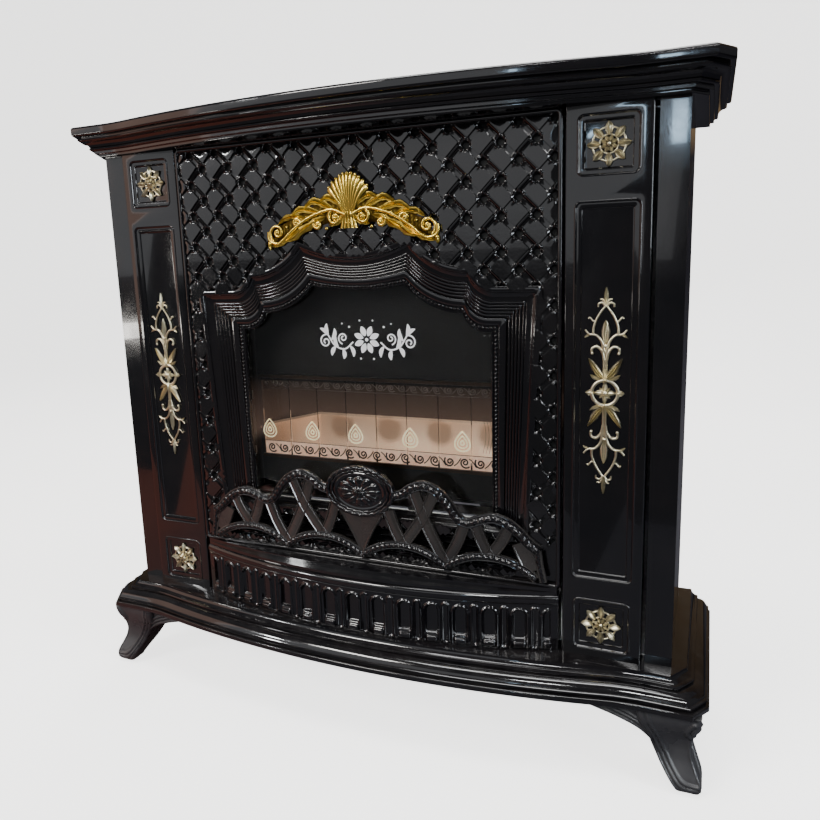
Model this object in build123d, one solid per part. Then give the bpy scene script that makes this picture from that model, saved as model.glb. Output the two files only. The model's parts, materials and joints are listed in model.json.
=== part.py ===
from build123d import *

import math
import os

# Sizes in mm. X runs across the front, Y from the pilaster faces into the body, Z up from the floor.

# Sheets, walls and fits.
sheet = 2.0
thin_sheet = 1.5
cast_wall = 4.0
seam = 3.0
running_gap = 0.05
free_gap = 0.4
hole_gap = 0.5

# Crest above the window, measured up from the window's middle.
crest_z = 250.0
crest_height = 52.0
crest_shell_half = 37.0
crest_thick = 6.0
crest_lobes = 7
crest_lobe_turn = 22.0
crest_swag_width = 20.0
crest_swag = [(7.0, -4.0), (56.0, 2.0), (96.0, -12.0), (125.0, -28.0)]
crest_curl_radius = 10.0
crest_curl = (123.0, -30.0)

# Heights of the bands, stacked from the floor up.
foot_height = 109.0
plinth_height = 40.0
apron_height = 80.0
hearth_height = 11.0
window_rise = 265.0
panel_head = 53.0
mantel_height = 44.0
body_bottom = foot_height + plinth_height
hearth_low = body_bottom + apron_height
panel_bottom = hearth_low + hearth_height
body_mid = panel_bottom + window_rise
body_top = body_mid + crest_z + crest_height + panel_head
total_height = body_top + mantel_height

# Widths, from the window outwards.
frame_half = 270.0
frame_margin = 23.0
pilaster_width = 103.0
pilaster_reveal = 5.0
corner_strip = 34.0
panel_half = frame_half + frame_margin
pilaster_inner = panel_half + seam
pilaster_outer = pilaster_inner + pilaster_width
pilaster_middle = pilaster_inner + pilaster_width / 2
strip_inner = pilaster_outer + pilaster_reveal
body_width = 2 * (strip_inner + corner_strip)

# Depths.
rear_reach = 253.0
service_gap = 30.0
side_back = rear_reach - service_gap

# Bowed plan shared by the mantel and the plinth.
plan_bow = 40.0
bow_radius = 1840.0
ease_radius = 280.0
corner_cut_x = 19.0
corner_cut_y = 29.0
mantel_side = 12.0
plinth_side = 4.0
plinth_face_out = 43.5
mantel_face_out = 33.0
flange_inset = 24.0
plinth_flange_inset = 13.0
air_way_side = 120.0
air_way_end = 60.0
mantel_layers = [
    (0.0, -27.0),
    (4.0, -27.0),
    (5.0, -22.0),
    (9.0, -22.0),
    (10.0, -18.0),
    (14.0, -17.0),
    (19.0, -13.0),
    (23.0, -7.0),
    (26.0, -6.0),
    (27.0, -10.0),
    (29.0, -10.0),
    (30.0, -1.5),
    (32.0, 0.0),
    (40.0, 0.0),
    (42.5, -1.5),
    (mantel_height, -4.5),
]
mantel_hollow = [(cast_wall, -31.0), (9.0, -26.0), (26.0, -14.0), (mantel_height - cast_wall, -14.0)]
plinth_layers = [
    (0.0, -2.0),
    (1.5, 0.0),
    (7.0, 0.0),
    (8.5, -1.5),
    (9.5, -5.5),
    (10.5, -5.5),
    (12.0, -2.5),
    (15.0, -2.5),
    (16.5, -5.5),
    (22.0, -10.5),
    (25.0, -18.5),
    (27.0, -20.5),
    (28.5, -19.5),
    (30.5, -20.0),
    (32.0, -24.5),
    (plinth_height, -29.5),
]
plinth_hollow = [(cast_wall, -9.5), (15.0, -13.5), (30.0, -31.5), (plinth_height - cast_wall, -34.5)]

# Pilasters.
pilaster_depth = 26.0
pilaster_wall = 8.0
strip_set_back = 7.0
sunk_step = 2.0
sunk_rim = 6.5
sunk_corner = 6.0
tall_panel_width = 75.0
tall_panel_margin = 113.0
tall_panel_height = body_top - body_bottom - 2 * tall_panel_margin
square_panel_width = 70.0
square_panel_height = 68.0
square_panel_margin = 12.0
upper_square_z = body_top - square_panel_margin - square_panel_height / 2
lower_square_z = body_bottom + square_panel_margin + square_panel_height / 2

# Woven front panel.
panel_plate = 6.0
panel_relief = 3.0
panel_border = 5.0
panel_corner = 8.0
weave_pitch_x = 46.0
weave_pitch_z = 45.5
weave_gap = 13.0
weave_edge = 3.2
weave_vent = 5.5
weave_first_z = 345.5
weave_offset_x = 8.0
weave_bevel = 0.6

# Window surround: outline points to the right of the middle, X and height above the window's middle.
peak_x = 86.0
peak_z = 211.0
dip_z = 191.0
shoulder_x = 172.0
shoulder_z = 169.0
step_x = 208.0
step_z = 143.0
frame_foot_inset = 20.0
frame_foot_half = frame_half - frame_foot_inset
frame_foot_z = -196.0
inner_peak_x = 74.0
inner_peak_z = 147.0
inner_dip_z = 140.0
inner_shoulder_x = 158.0
inner_shoulder_z = 107.0
inner_step_x = 190.0
inner_step_z = 82.0
inner_half = 197.0
frame_back = 16.0
frame_front = -3.0
frame_flange = 0.16
frame_seat = 0.15
frame_rail_z = -184.0
frame_profile = [
    (0.10, -3.0),
    (0.13, -1.0),
    (0.32, 2.5),
    (0.34, 4.0),
    (0.46, 4.3),
    (0.48, 5.8),
    (0.60, 6.1),
    (0.62, 7.6),
    (0.74, 7.9),
    (0.77, 9.5),
    (0.92, 9.8),
    (1.00, 12.0),
]

# Window glass and its seat.
glass_lap = 0.80
gasket_lap = 0.96
gasket_thick = 3.0
glass_thick = 4.0
clip_width = 30.0
clip_height = 14.0
clip_pitch = 90.0
clip_drop = 30.0
clip_reveal = 2.0

# Pierced fender, heights measured from the window's middle.
fender_back = -3.0
fender_thick = 7.0
fender_inset = 8.0
fender_half = frame_half - fender_inset
fender_rope = 9.0
fender_seat = 12.0
fender_arch_foot = fender_seat - window_rise
fender_arch_rise = 23.0
fender_arches = 4
fender_rib = 12.0
fender_crests = [
    (266.0, 53.0),
    (240.0, 69.0),
    (200.0, 90.0),
    (163.0, 81.0),
    (144.0, 93.0),
    (122.0, 118.0),
    (99.0, 128.0),
    (76.0, 120.0),
    (62.0, 109.0),
]
fender_rib_tops = [(0, 22.0), (1, 42.0), (1, 110.0), (2, 90.0), (2, 162.0), (3, 176.0), (3, 226.0)]
fender_web_inset = 38.0
fender_web_top = 30.0
fender_web_low = 16.0
fender_post_out = 14.0
medallion_half_x = 55.0
medallion_half_z = 37.0
medallion_rise_z = 112.0
medallion_rise = 4.0
medallion_rim = 9.0

# Air louvre behind the fender.
louvre_half = frame_foot_half
louvre_low = 15.0 - window_rise
louvre_high = frame_foot_z - sheet
louvre_slats = 4
louvre_slat_depth = 9.0
louvre_slat_tilt = 35.0
louvre_rim = 8.0

# Hearth shelf and fluted apron.
hearth_bow = 44.0
hearth_step = 12.0
hearth_layer = 5.0
apron_half = panel_half - sheet
apron_bow = 47.0
apron_thick = 8.0
apron_return = 24.0
flute_count = 14
flute_width = 21.0
flute_depth = 3.0
flute_low = body_bottom + 12.0
flute_high = hearth_low - 10.5

# Cast ornaments.
rosette_radius = 24.0
rosette_valley = 15.0
rosette_petals = 8
rosette_plate = 3.0
rosette_height = 5.0
rosette_boss = 7.0
ornament_half = 130.0
ornament_mid_z = 7.0
ornament_thick = 3.5
ornament_ring = 18.0
ornament_leaf_half = 15.5
ornament_leaves = [(44.0, 17.5), (78.0, 14.5), (104.0, 10.0)]
ornament_bud = (118.0, 4.5)

# Feet.
foot_set_back = 45.5
foot_knee = 41.0
foot_wing = 128.0
foot_side_wing = 76.0
foot_wing_thick = 12.0
foot_rear_inset = 47.0
foot_lug = 8.0
foot_lug_near = 34.0
foot_lug_far = 70.0
foot_front_x = body_width / 2
foot_front_y = foot_set_back - plinth_face_out
foot_rear_y = rear_reach - foot_rear_inset
foot_knee_low = (1.0, 0.90)
foot_ankle = (0.72, 0.54)
foot_toe_high = (1.0, 0.20)
foot_toe = (0.93, 0.06)
foot_toe_low = (0.70, 0.0)
foot_heel = (0.34, 0.0)
foot_arch = (-0.30, 0.34)
foot_back = (-0.55, 0.72)
foot_wing_root = 0.35
foot_wing_bend = (0.34, 0.76)
foot_wing_tip = 0.96

# Rear sheet and its slots.
rear_flange = 18.0
vent_rows = 7
vent_columns = 4
vent_length = 90.0
vent_width = 7.0
vent_pitch_x = 135.0
vent_pitch_z = 17.0
vent_low = body_bottom + 79.0
pan_slot_length = 45.0
pan_slot_pitch = 56.0
pan_slot_columns = 7
pan_slot_rows = 3
screw_head = 4.5
bolt_head = 9.0
screw_rows = 4

# Glass strips and fire chamber, heights taken from the window's middle.
strip_count = 8
strip_pitch = 51.0
strip_gap = 1.0
strip_thick = 3.0
strip_low = body_mid - 130.0
strip_high = body_mid + 4.0
strip_lap = 9.0
rail_height = 5.0
rail_depth = 8.0
rail_half = strip_count * strip_pitch / 2 + sheet
fire_margin = 29.0
fire_half = rail_half + fire_margin
fire_front = 60.0
fire_depth = 125.0
fire_back = fire_front + fire_depth
fire_low = body_mid - 175.0
fire_high = body_mid + 235.0
liner_half = rail_half + 8.0
liner_low = fire_low - 8.0
liner_high = body_mid + 151.0
reflector_top = body_mid - 82.0
reflector_ledge = 16.0
leg_width = 60.0
shield_drop = 6.0
leg_flange = 20.0

# Burner and pilot.
burner_radius = 16.0
burner_bore = 13.0
burner_y = fire_front + 58.0
burner_z = fire_low + 24.0
port_width = 4.0
port_count = 7
injector_radius = 7.0
injector_length = 22.0
pilot_x = -60.0
pilot_radius = 5.0
pilot_height = 40.0
probe_radius = 2.5
probe_length = 34.0
probe_pitch = 16.0
electrode_rise = 5.0

# Flue.
flue_radius = 74.0
flue_wall = 2.0
flue_neck = 1.0
flue_z = fire_high - 90.0
flue_reach = 26.0
hood_half = 110.0
hood_height = 210.0
hood_depth = side_back - fire_back

# Gas control on the left side.
control_y = burner_y
control_z = body_bottom + 113.0
valve_length = 62.0
valve_half_y = 24.0
valve_half_z = 30.0
valve_inset = 46.0
valve_neck = 12.0
spindle_radius = 4.0
stub_radius = 3.0
spindle_stub = 6.0
knob_radius = 21.0
knob_length = 18.0
knob_skirt = 3.0
knob_grips = 12
knob_grip_depth = 2.0
push_travel = 4.0
igniter_z = control_z + 50.0
igniter_radius = 9.0
igniter_length = 46.0
igniter_collar = 12.0
button_radius = 6.0
button_length = 12.0
button_travel = 6.0
plate_margin = 26.0
plate_foot = 40.0
plate_half_y = 42.0
pipe_radius = 6.0
elbow_half = 10.0
inlet_radius = 10.45
inlet_neck = 0.5
inlet_length = 24.0
inlet_hex = 15.0
inlet_end = rear_reach - 4.0


def frame_shift():
    """Puts the row's origin midway between the plinth's bow and the rear edges."""
    front = -(plinth_face_out + plan_bow)
    return Pos(0, -(front + rear_reach) / 2, 0)


def save(name, *solids):
    """Writes one node as a group of one or more solids."""
    moved = [frame_shift() * solid for solid in solids]
    shape = moved[0] if len(moved) == 1 else Compound(children=moved)
    export_step(shape, os.path.join("parts", name + ".step"))


def block(x0, x1, y0, y1, z0, z1):
    """Box between two corners."""
    size = Box(abs(x1 - x0), abs(y1 - y0), abs(z1 - z0))
    return Pos((x0 + x1) / 2, (y0 + y1) / 2, (z0 + z1) / 2) * size


def rod(radius, start, direction, length):
    """Cylinder from a start point along a direction."""
    return Plane(origin=start, z_dir=direction) * Cylinder(
        radius, length, align=(Align.CENTER, Align.CENTER, Align.MIN)
    )


def hexagon(radius, start, direction, length):
    """Hexagonal prism from a start point along a direction."""
    return extrude(Plane(origin=start, z_dir=direction) * RegularPolygon(radius, 6), length)


def front_plate(face, y_front, y_back):
    """Turns a face drawn in X and Z into a plate between two depths."""
    plane = Plane(origin=(0, y_back, 0), x_dir=(1, 0, 0), z_dir=(0, -1, 0))
    return extrude(plane * face, y_back - y_front, dir=(0, -1, 0))


def bowed_wire(out, side_extra, z):
    """Plan of a moulding layer standing `out` proud of the body, with a bowed front and cut corners."""
    front = -out
    side = body_width / 2 + out + side_extra
    reach = bow_radius + ease_radius
    ease_x = math.sqrt(plan_bow * (2 * reach - plan_bow))
    bow_centre = front - plan_bow + bow_radius
    angle = math.asin(ease_x / reach)
    join_x = bow_radius * math.sin(angle)
    join_y = bow_centre - bow_radius * math.cos(angle)
    half = angle / 2
    ease_mid_x = ease_x - ease_radius * math.sin(half)
    ease_mid_y = front - ease_radius * (1 - math.cos(half))

    def at(x, y):
        return (x, y, z)

    edges = [
        Line(at(side, rear_reach), at(side, front + corner_cut_y)),
        Line(at(side, front + corner_cut_y), at(side - corner_cut_x, front)),
        Line(at(side - corner_cut_x, front), at(ease_x, front)),
        ThreePointArc(at(ease_x, front), at(ease_mid_x, ease_mid_y), at(join_x, join_y)),
        ThreePointArc(at(join_x, join_y), at(0, front - plan_bow), at(-join_x, join_y)),
        ThreePointArc(at(-join_x, join_y), at(-ease_mid_x, ease_mid_y), at(-ease_x, front)),
        Line(at(-ease_x, front), at(corner_cut_x - side, front)),
        Line(at(corner_cut_x - side, front), at(-side, front + corner_cut_y)),
        Line(at(-side, front + corner_cut_y), at(-side, rear_reach)),
        Line(at(-side, rear_reach), at(side, rear_reach)),
    ]
    return Wire(edges)


def moulding(base_z, face_out, side_extra, layers):
    """Solid through stacked plans: each layer gives a height and how far it stands from the face."""
    wires = [bowed_wire(face_out + out, side_extra, base_z + rise) for rise, out in layers]
    return Solid.make_loft(wires, ruled=True)


def in_rear_wall(solid):
    """Keeps a hollow clear of the rear wall."""
    return solid & block(-body_width, body_width, -body_width, rear_reach - cast_wall, 0, total_height)


def mantel_top():
    """Mantel shelf: cove and beads under a rounded slab, hollow, on a flange that the body carries."""
    shelf = moulding(body_top, mantel_face_out, mantel_side, mantel_layers)
    hollow = moulding(body_top, mantel_face_out, mantel_side, mantel_hollow)
    half = body_width / 2 - flange_inset
    opening = block(-half, half, flange_inset, rear_reach - flange_inset, body_top, body_top + cast_wall)
    return shelf - in_rear_wall(hollow) - opening


def base_plinth():
    """Plinth: fascia, beads and an ogee rising to the body, hollow, with an air way through it."""
    plinth = moulding(foot_height, plinth_face_out, plinth_side, plinth_layers)
    hollow = moulding(foot_height, plinth_face_out, plinth_side, plinth_hollow)
    half = body_width / 2 - plinth_flange_inset
    back = rear_reach - plinth_flange_inset
    opening = block(-half, half, 0, back, foot_height, foot_height + cast_wall)
    roof = body_bottom - cast_wall
    way_half = half - air_way_side
    air_way = block(-way_half, way_half, air_way_end, side_back - air_way_end, roof, body_bottom)
    return plinth - in_rear_wall(hollow) - opening - air_way


def base_pan():
    """Sheet floor of the body with rows of air slots over the plinth's opening."""
    half = body_width / 2 - sheet
    top = body_bottom + thin_sheet
    pan = block(-half, half, pilaster_depth + sheet, side_back - sheet, body_bottom, top)
    slots = []
    for column in range(pan_slot_columns):
        for row in range(pan_slot_rows):
            x = (column - (pan_slot_columns - 1) / 2) * pan_slot_pitch
            y = (pilaster_depth + side_back) / 2 + (row - (pan_slot_rows - 1) / 2) * vent_pitch_z
            slot = Pos(x, y, body_bottom) * Rectangle(pan_slot_length, vent_width)
            slots.append(extrude(slot, thin_sheet))
    return pan - slots


def leg_profile():
    """Side view of a foot's corner post in arcs: distance out from its middle and height."""

    def at(place):
        return (foot_knee * place[0], foot_height * place[1])

    knee = at(foot_knee_low)
    toe_high = at(foot_toe_high)
    toe_low = at(foot_toe_low)
    heel = at(foot_heel)
    back = at(foot_back)
    edges = [
        Line((back[0], foot_height), (knee[0], foot_height)),
        Line((knee[0], foot_height), knee),
        ThreePointArc(knee, at(foot_ankle), toe_high),
        ThreePointArc(toe_high, at(foot_toe), toe_low),
        Line(toe_low, heel),
        ThreePointArc(heel, at(foot_arch), back),
        Line(back, (back[0], foot_height)),
    ]
    return Wire(edges)


def foot(side, end):
    """Cabriole foot: one arched profile across and one along, crossed, with two wings and a bolt lug."""
    centre_x = side * foot_front_x
    centre_y = foot_front_y if end < 0 else foot_rear_y
    outline = Face(leg_profile())
    across = Plane(origin=(centre_x, centre_y, 0), x_dir=(side, 0, 0), z_dir=(0, -side, 0))
    along = Plane(origin=(centre_x, centre_y, 0), x_dir=(0, end, 0), z_dir=(end, 0, 0))
    post = extrude(across * outline, foot_height, both=True)
    post &= extrude(along * outline, foot_height, both=True)
    front = centre_y + end * foot_wing_thick
    flank = centre_x + side * foot_wing_thick
    wing_x = foot_wing_shape(centre_x, front, foot_wing, -side, True)
    wing_y = foot_wing_shape(centre_y, flank, foot_side_wing, -end, False)
    near = centre_y - end * foot_lug_near
    far = centre_y - end * foot_lug_far
    inner = side * (body_width / 2 - plinth_flange_inset)
    lug = block(inner, flank, near, far, foot_height - foot_lug, foot_height)
    return post + wing_x + wing_y + lug


def foot_wing_shape(along, across, reach, way, runs_in_x):
    """One arched bracket of a foot, deepest at the corner and thin at its tip."""
    share, rise = foot_wing_bend
    start = (0, foot_height * foot_wing_root)
    bend = (way * reach * share, foot_height * rise)
    tip = (way * reach, foot_height * foot_wing_tip)
    outline = Wire(
        [
            ThreePointArc(start, bend, tip),
            Line(tip, (tip[0], foot_height)),
            Line((tip[0], foot_height), (0, foot_height)),
            Line((0, foot_height), start),
        ]
    )
    if runs_in_x:
        plane = Plane(origin=(along, across, 0), x_dir=(1, 0, 0), z_dir=(0, -1, 0))
    else:
        plane = Plane(origin=(across, along, 0), x_dir=(0, 1, 0), z_dir=(1, 0, 0))
    return extrude(plane * Face(outline), foot_wing_thick / 2, both=True)


def sunk_panel(x, z, width, height):
    """Cutter for a stepped sunk panel in a pilaster's face."""
    outer = RectangleRounded(width, height, sunk_corner)
    inner = Rectangle(width - 2 * sunk_rim, height - 2 * sunk_rim)
    first = front_plate(Pos(x, z) * outer, -sunk_step, sunk_step)
    second = front_plate(Pos(x, z) * inner, -sunk_step, 2 * sunk_step)
    return first + second


def pilaster(side):
    """Cast pilaster with a tall sunk panel between two square ones, hollow behind."""
    x0 = side * pilaster_inner
    x1 = side * pilaster_outer
    body = block(x0, x1, 0, pilaster_depth, body_bottom, body_top)
    body = chamfer(body.faces().sort_by(Axis.Y)[0].edges().filter_by(Axis.Z), sunk_step)
    wall = side * pilaster_wall
    low = body_bottom + pilaster_wall
    high = body_top - pilaster_wall
    hollow = block(x0 + wall, x1 - wall, pilaster_wall, pilaster_depth, low, high)
    middle = side * pilaster_middle
    cuts = [
        sunk_panel(middle, (body_bottom + body_top) / 2, tall_panel_width, tall_panel_height),
        sunk_panel(middle, upper_square_z, square_panel_width, square_panel_height),
        sunk_panel(middle, lower_square_z, square_panel_width, square_panel_height),
    ]
    return body - hollow - cuts


def side_panel(side):
    """Enamelled side sheet with a folded front strip, a rear flange and, on the left, the control holes."""
    outer = side * body_width / 2
    inner = outer - side * sheet
    front = strip_set_back
    lip = side * strip_inner
    wall = block(inner, outer, front, side_back, body_bottom, body_top)
    strip = block(lip, outer, front, front + sheet, body_bottom, body_top)
    edge = block(lip, lip + side * sheet, front, front + pilaster_wall, body_bottom, body_top)
    rear = outer - side * rear_flange
    flange = block(rear, outer, side_back - sheet, side_back, body_bottom, body_top)
    panel = wall + strip + edge + flange
    if side < 0:
        panel -= control_holes(outer)
    return panel


def control_holes(x):
    """Cutters for the spindle and the igniter through the left side."""
    reach = 4 * sheet
    return [
        rod(spindle_radius + hole_gap, (x - reach, control_y, control_z), (1, 0, 0), 2 * reach),
        rod(igniter_radius + hole_gap, (x - reach, control_y, igniter_z), (1, 0, 0), 2 * reach),
    ]


def mix(a, b, share):
    """Value a given share of the way from a to b."""
    return a + (b - a) * share


def concave_arc(high, low):
    """Arc that leaves the high point steeply and arrives level at the low point."""
    run = low[0] - high[0]
    drop = high[1] - low[1]
    radius = (run * run + drop * drop) / (2 * drop)
    sweep = math.asin(run / radius) / 2
    mid = (low[0] - radius * math.sin(sweep), low[1] + radius * (1 - math.cos(sweep)))
    return mid


def surround_wire(share, y):
    """Outline of the window surround, from its outer edge (share 0) to the glass opening (share 1)."""
    peak = (mix(peak_x, inner_peak_x, share), mix(peak_z, inner_peak_z, share))
    dip = mix(dip_z, inner_dip_z, share)
    shoulder = (mix(shoulder_x, inner_shoulder_x, share), mix(shoulder_z, inner_shoulder_z, share))
    step = (mix(step_x, inner_step_x, share), mix(step_z, inner_step_z, share))
    half = mix(frame_half, inner_half, share)
    foot_half = mix(frame_foot_half, inner_half, share)
    foot_z = mix(frame_foot_z, frame_rail_z, share)
    top_mid = concave_arc(peak, shoulder)
    low_mid = concave_arc(shoulder, step)

    def at(x, z):
        return (x, y, body_mid + z)

    edges = [
        ThreePointArc(at(-peak[0], peak[1]), at(0, dip), at(*peak)),
        ThreePointArc(at(*peak), at(*top_mid), at(*shoulder)),
        ThreePointArc(at(*shoulder), at(*low_mid), at(*step)),
        Line(at(*step), at(half, step[1])),
        Line(at(half, step[1]), at(foot_half, foot_z)),
        Line(at(foot_half, foot_z), at(-foot_half, foot_z)),
        Line(at(-foot_half, foot_z), at(-half, step[1])),
        Line(at(-half, step[1]), at(-step[0], step[1])),
        ThreePointArc(at(-step[0], step[1]), at(-low_mid[0], low_mid[1]), at(-shoulder[0], shoulder[1])),
        ThreePointArc(at(-shoulder[0], shoulder[1]), at(-top_mid[0], top_mid[1]), at(-peak[0], peak[1])),
    ]
    return Wire(edges)


def surround_plate(share, y_front, y_back):
    """Solid plate in the surround's outline."""
    return Solid.make_loft([surround_wire(share, y_front), surround_wire(share, y_back)], ruled=True)


def window_frame():
    """Splayed window surround: a fillet, a cove and stepped reeds falling back to the glass."""
    flange = surround_plate(0.0, frame_front, 0)
    neck = surround_plate(frame_flange, 0, frame_back)
    wires = [surround_wire(share, y) for share, y in frame_profile]
    splay = Solid.make_loft(wires, ruled=True)
    mouth = surround_plate(frame_profile[-1][0], frame_profile[-1][1], frame_back)
    return flange + neck - splay - mouth


def window_gasket():
    """Flat rope seal between the surround and the glass."""
    outer = surround_plate(glass_lap, frame_back, frame_back + gasket_thick)
    inner = surround_plate(gasket_lap, frame_back, frame_back + gasket_thick)
    return outer - inner


def glass_front():
    """Depth of the glass's front face."""
    return frame_back + gasket_thick


def window_glass():
    """Heat-resistant pane behind the surround."""
    return surround_plate(glass_lap, glass_front(), glass_front() + glass_thick)


def glass_clips():
    """Pairs of spring clips that hold the pane from behind, three on each side."""
    clips = []
    y = glass_front() + glass_thick
    for side in (-1, 1):
        for rise in (-1, 0, 1):
            z = body_mid - clip_drop + rise * clip_pitch
            inner = side * (inner_half + clip_reveal)
            outer = side * (frame_half + clip_width / 2)
            tongue = block(inner, outer, y, y + thin_sheet, z, z + clip_height)
            foot_inner = side * (frame_half + sheet)
            leg = block(foot_inner, outer, panel_plate, y, z, z + clip_height)
            clips.append(tongue + leg)
    return clips


def weave_sites():
    """Centres of the raised diamonds of the weave, on two staggered lattices."""
    sites = []
    columns = int(panel_half / weave_pitch_x) + 1
    rows = int((body_top - panel_bottom) / weave_pitch_z) + 1
    for shift in (0, 1):
        for column in range(-columns, columns + 1):
            for row in range(rows):
                x = weave_offset_x + (column + 0.5 * (1 - shift)) * weave_pitch_x
                z = weave_first_z - (row + 0.5 * shift) * weave_pitch_z
                sites.append((x, z))
    return sites


def surround_reach(z):
    """Half width of the window surround at a height above the body's middle, zero above its crown."""
    if z > peak_z:
        return 0.0
    if z > shoulder_z:
        return mix(shoulder_x, peak_x, (z - shoulder_z) / (peak_z - shoulder_z)) + weave_gap
    if z > step_z:
        return mix(step_x, shoulder_x, (z - step_z) / (shoulder_z - step_z))
    return frame_half


def is_clear(x, z, half_x, half_z):
    """True where a diamond fits between the border and the window surround."""
    limit = panel_half - panel_border
    low = panel_bottom - body_mid + panel_border
    high = body_top - body_mid - panel_border
    inside = abs(x) + half_x < limit and low < z - half_z and z + half_z < high
    return inside and abs(x) - half_x > surround_reach(z - half_z / 2)


def diamond(x, z, half_x, half_z, y_back, y_front):
    """Low bevelled diamond with its points up, down and to the sides."""
    wires = []
    bevel = abs(y_front - y_back) * weave_bevel
    for grow, y in ((0, y_back), (-bevel, y_front)):
        wide, tall = half_x + grow, half_z + grow
        corners = [(x + wide, z), (x, z + tall), (x - wide, z), (x, z - tall)]
        wires.append(Wire.make_polygon([(a, y, body_mid + b) for a, b in corners], close=True))
    return Solid.make_loft(wires, ruled=True)


def front_panel():
    """Centre casting: woven diamonds with vents at their corners, a rim, and the window and air openings."""
    height = body_top - panel_bottom
    middle = (body_top + panel_bottom) / 2
    outline = RectangleRounded(2 * panel_half, height, panel_corner)
    plate = front_plate(Pos(0, middle) * outline, 0, panel_plate)
    inner_corner = panel_corner - panel_border / 2
    inner = RectangleRounded(2 * (panel_half - panel_border), height - 2 * panel_border, inner_corner)
    rim = front_plate(Pos(0, middle) * (outline - inner), -panel_relief, 0)
    half_x = (weave_pitch_x - weave_gap) / 2
    half_z = (weave_pitch_z - weave_gap) / 2
    vent = lozenge(weave_vent, weave_vent)
    pads = []
    vents = []
    for x, z in weave_sites():
        if is_clear(x, z, half_x, half_z):
            pads.append(diamond(x, z, half_x, half_z, 0, -panel_relief))
        vent_x = x + weave_pitch_x / 2
        if is_clear(vent_x, z, weave_vent, weave_vent):
            vents.append(front_plate(Pos(vent_x, body_mid + z) * vent, 0, panel_plate))
    window = surround_plate(frame_seat, -panel_relief, panel_plate)
    low = body_mid + louvre_low
    high = body_mid + louvre_high - louvre_rim
    air = block(-louvre_half, louvre_half, -panel_relief, panel_plate, low, high)
    return plate + rim + pads + side_pads() - vents - window - air


def side_pads():
    """Small diamonds in the narrow strips beside the window."""
    pads = []
    pitch = weave_pitch_z / 2
    half_x = (panel_half - panel_border - frame_half) / 2 - weave_edge / 2
    half_z = pitch / 2 - weave_edge / 2
    count = int((step_z - fender_arch_foot) / pitch) - 1
    x = (panel_half - panel_border + frame_half) / 2
    for side in (-1, 1):
        for row in range(count):
            z = step_z - (row + 1) * pitch
            pads.append(diamond(side * x, z, half_x, half_z, 0, -panel_relief))
    return pads


def smooth_edge(points):
    """Edge through points in X and Z: a line through two, an arc through three, a spline through more."""
    corners = [Vector(x, z, 0) for x, z in points]
    if len(corners) == 2:
        return Line(*corners)
    if len(corners) == 3:
        return ThreePointArc(*corners)
    return Spline(corners)


def ribbon(points, width):
    """Face of a band of even width whose middle line runs smoothly through points in X and Z."""
    left = []
    right = []
    last = len(points) - 1
    for index, (x, z) in enumerate(points):
        before = points[max(index - 1, 0)]
        after = points[min(index + 1, last)]
        run, rise = after[0] - before[0], after[1] - before[1]
        size = math.hypot(run, rise)
        offset = width / 2 / size
        left.append((x - rise * offset, z + run * offset))
        right.append((x + rise * offset, z - run * offset))
    edges = [smooth_edge(left), Line(left[-1], right[-1]), smooth_edge(right[::-1]), Line(right[0], left[0])]
    return Face(Wire(edges))


def arch_points(centre, span):
    """Ends and crown of one scallop along the fender's lower edge."""
    half = span / 2
    crown = fender_arch_foot + fender_arch_rise
    return [(centre - half, fender_arch_foot), (centre, crown), (centre + half, fender_arch_foot)]


def fender():
    """Pierced fender: scalloped top and bottom bands, crossing ribs, end webs and an oval medallion."""
    lift = Pos(0, body_mid)
    medallion_z = medallion_middle()
    bands = []
    for side in (-1, 1):
        crest = [(side * x, panel_bottom - body_mid + z) for x, z in fender_crests]
        crest.append((side * (medallion_half_x - fender_rope), medallion_z))
        bands.append(ribbon(crest, fender_rope))
    span = 2 * fender_half / fender_arches
    for index in range(fender_arches):
        centre = -fender_half + (index + 0.5) * span
        bands.append(ribbon(arch_points(centre, span), fender_rope))
    bands.extend(fender_ribs(span))
    bands.extend(fender_ends())
    medallion = Pos(0, medallion_z) * Ellipse(medallion_half_x, medallion_half_z)
    inner = Ellipse(medallion_half_x - medallion_rim, medallion_half_z - medallion_rim)
    rim = medallion - Pos(0, medallion_z) * inner
    front = fender_back - fender_thick
    solid = front_plate(lift * medallion, front, fender_back)
    solid += [front_plate(lift * band, front, fender_back) for band in bands]
    solid += front_plate(lift * rim, front - medallion_rise, front)
    return solid


def medallion_middle():
    """Height of the medallion's middle, from the window's middle."""
    return medallion_rise_z - window_rise


def fender_ribs(span):
    """Slanted ribs that cross under the top band and meet in points on the lower scallops."""
    ribs = []
    half = span / 2
    low = fender_arch_foot + fender_rope / 2
    crown = fender_arch_foot + fender_arch_rise
    for step, top_x in fender_rib_tops:
        foot_z = low if step % 2 == 0 else crown
        top_z = fender_top(top_x)
        for side in (-1, 1):
            foot_x = side * step * half
            ribs.append(ribbon([(foot_x, foot_z), (side * top_x, top_z)], fender_rib))
    return ribs


def fender_top(x):
    """Height of the top band's middle line at a distance from the middle."""
    for (outer_x, outer_z), (inner_x, inner_z) in zip(fender_crests, fender_crests[1:]):
        if inner_x <= x <= outer_x:
            return mix(inner_z, outer_z, (x - inner_x) / (outer_x - inner_x)) - window_rise
    return medallion_middle() - medallion_half_z / 2


def fender_ends():
    """Solid web and upright post at each end of the fender."""
    ends = []
    foot = fender_arch_foot - fender_rope / 2
    for side in (-1, 1):
        corners = [
            (fender_half - fender_web_inset, fender_arch_foot + fender_web_low),
            (fender_half - fender_web_top, fender_crests[1][1] - window_rise),
            (fender_half, fender_crests[0][1] - window_rise),
            (fender_half + fender_post_out, foot),
            (fender_half - fender_rope / 2, foot),
        ]
        ends.append(Face(Wire.make_polygon([(side * x, z, 0) for x, z in corners], close=True)))
    return ends


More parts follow.
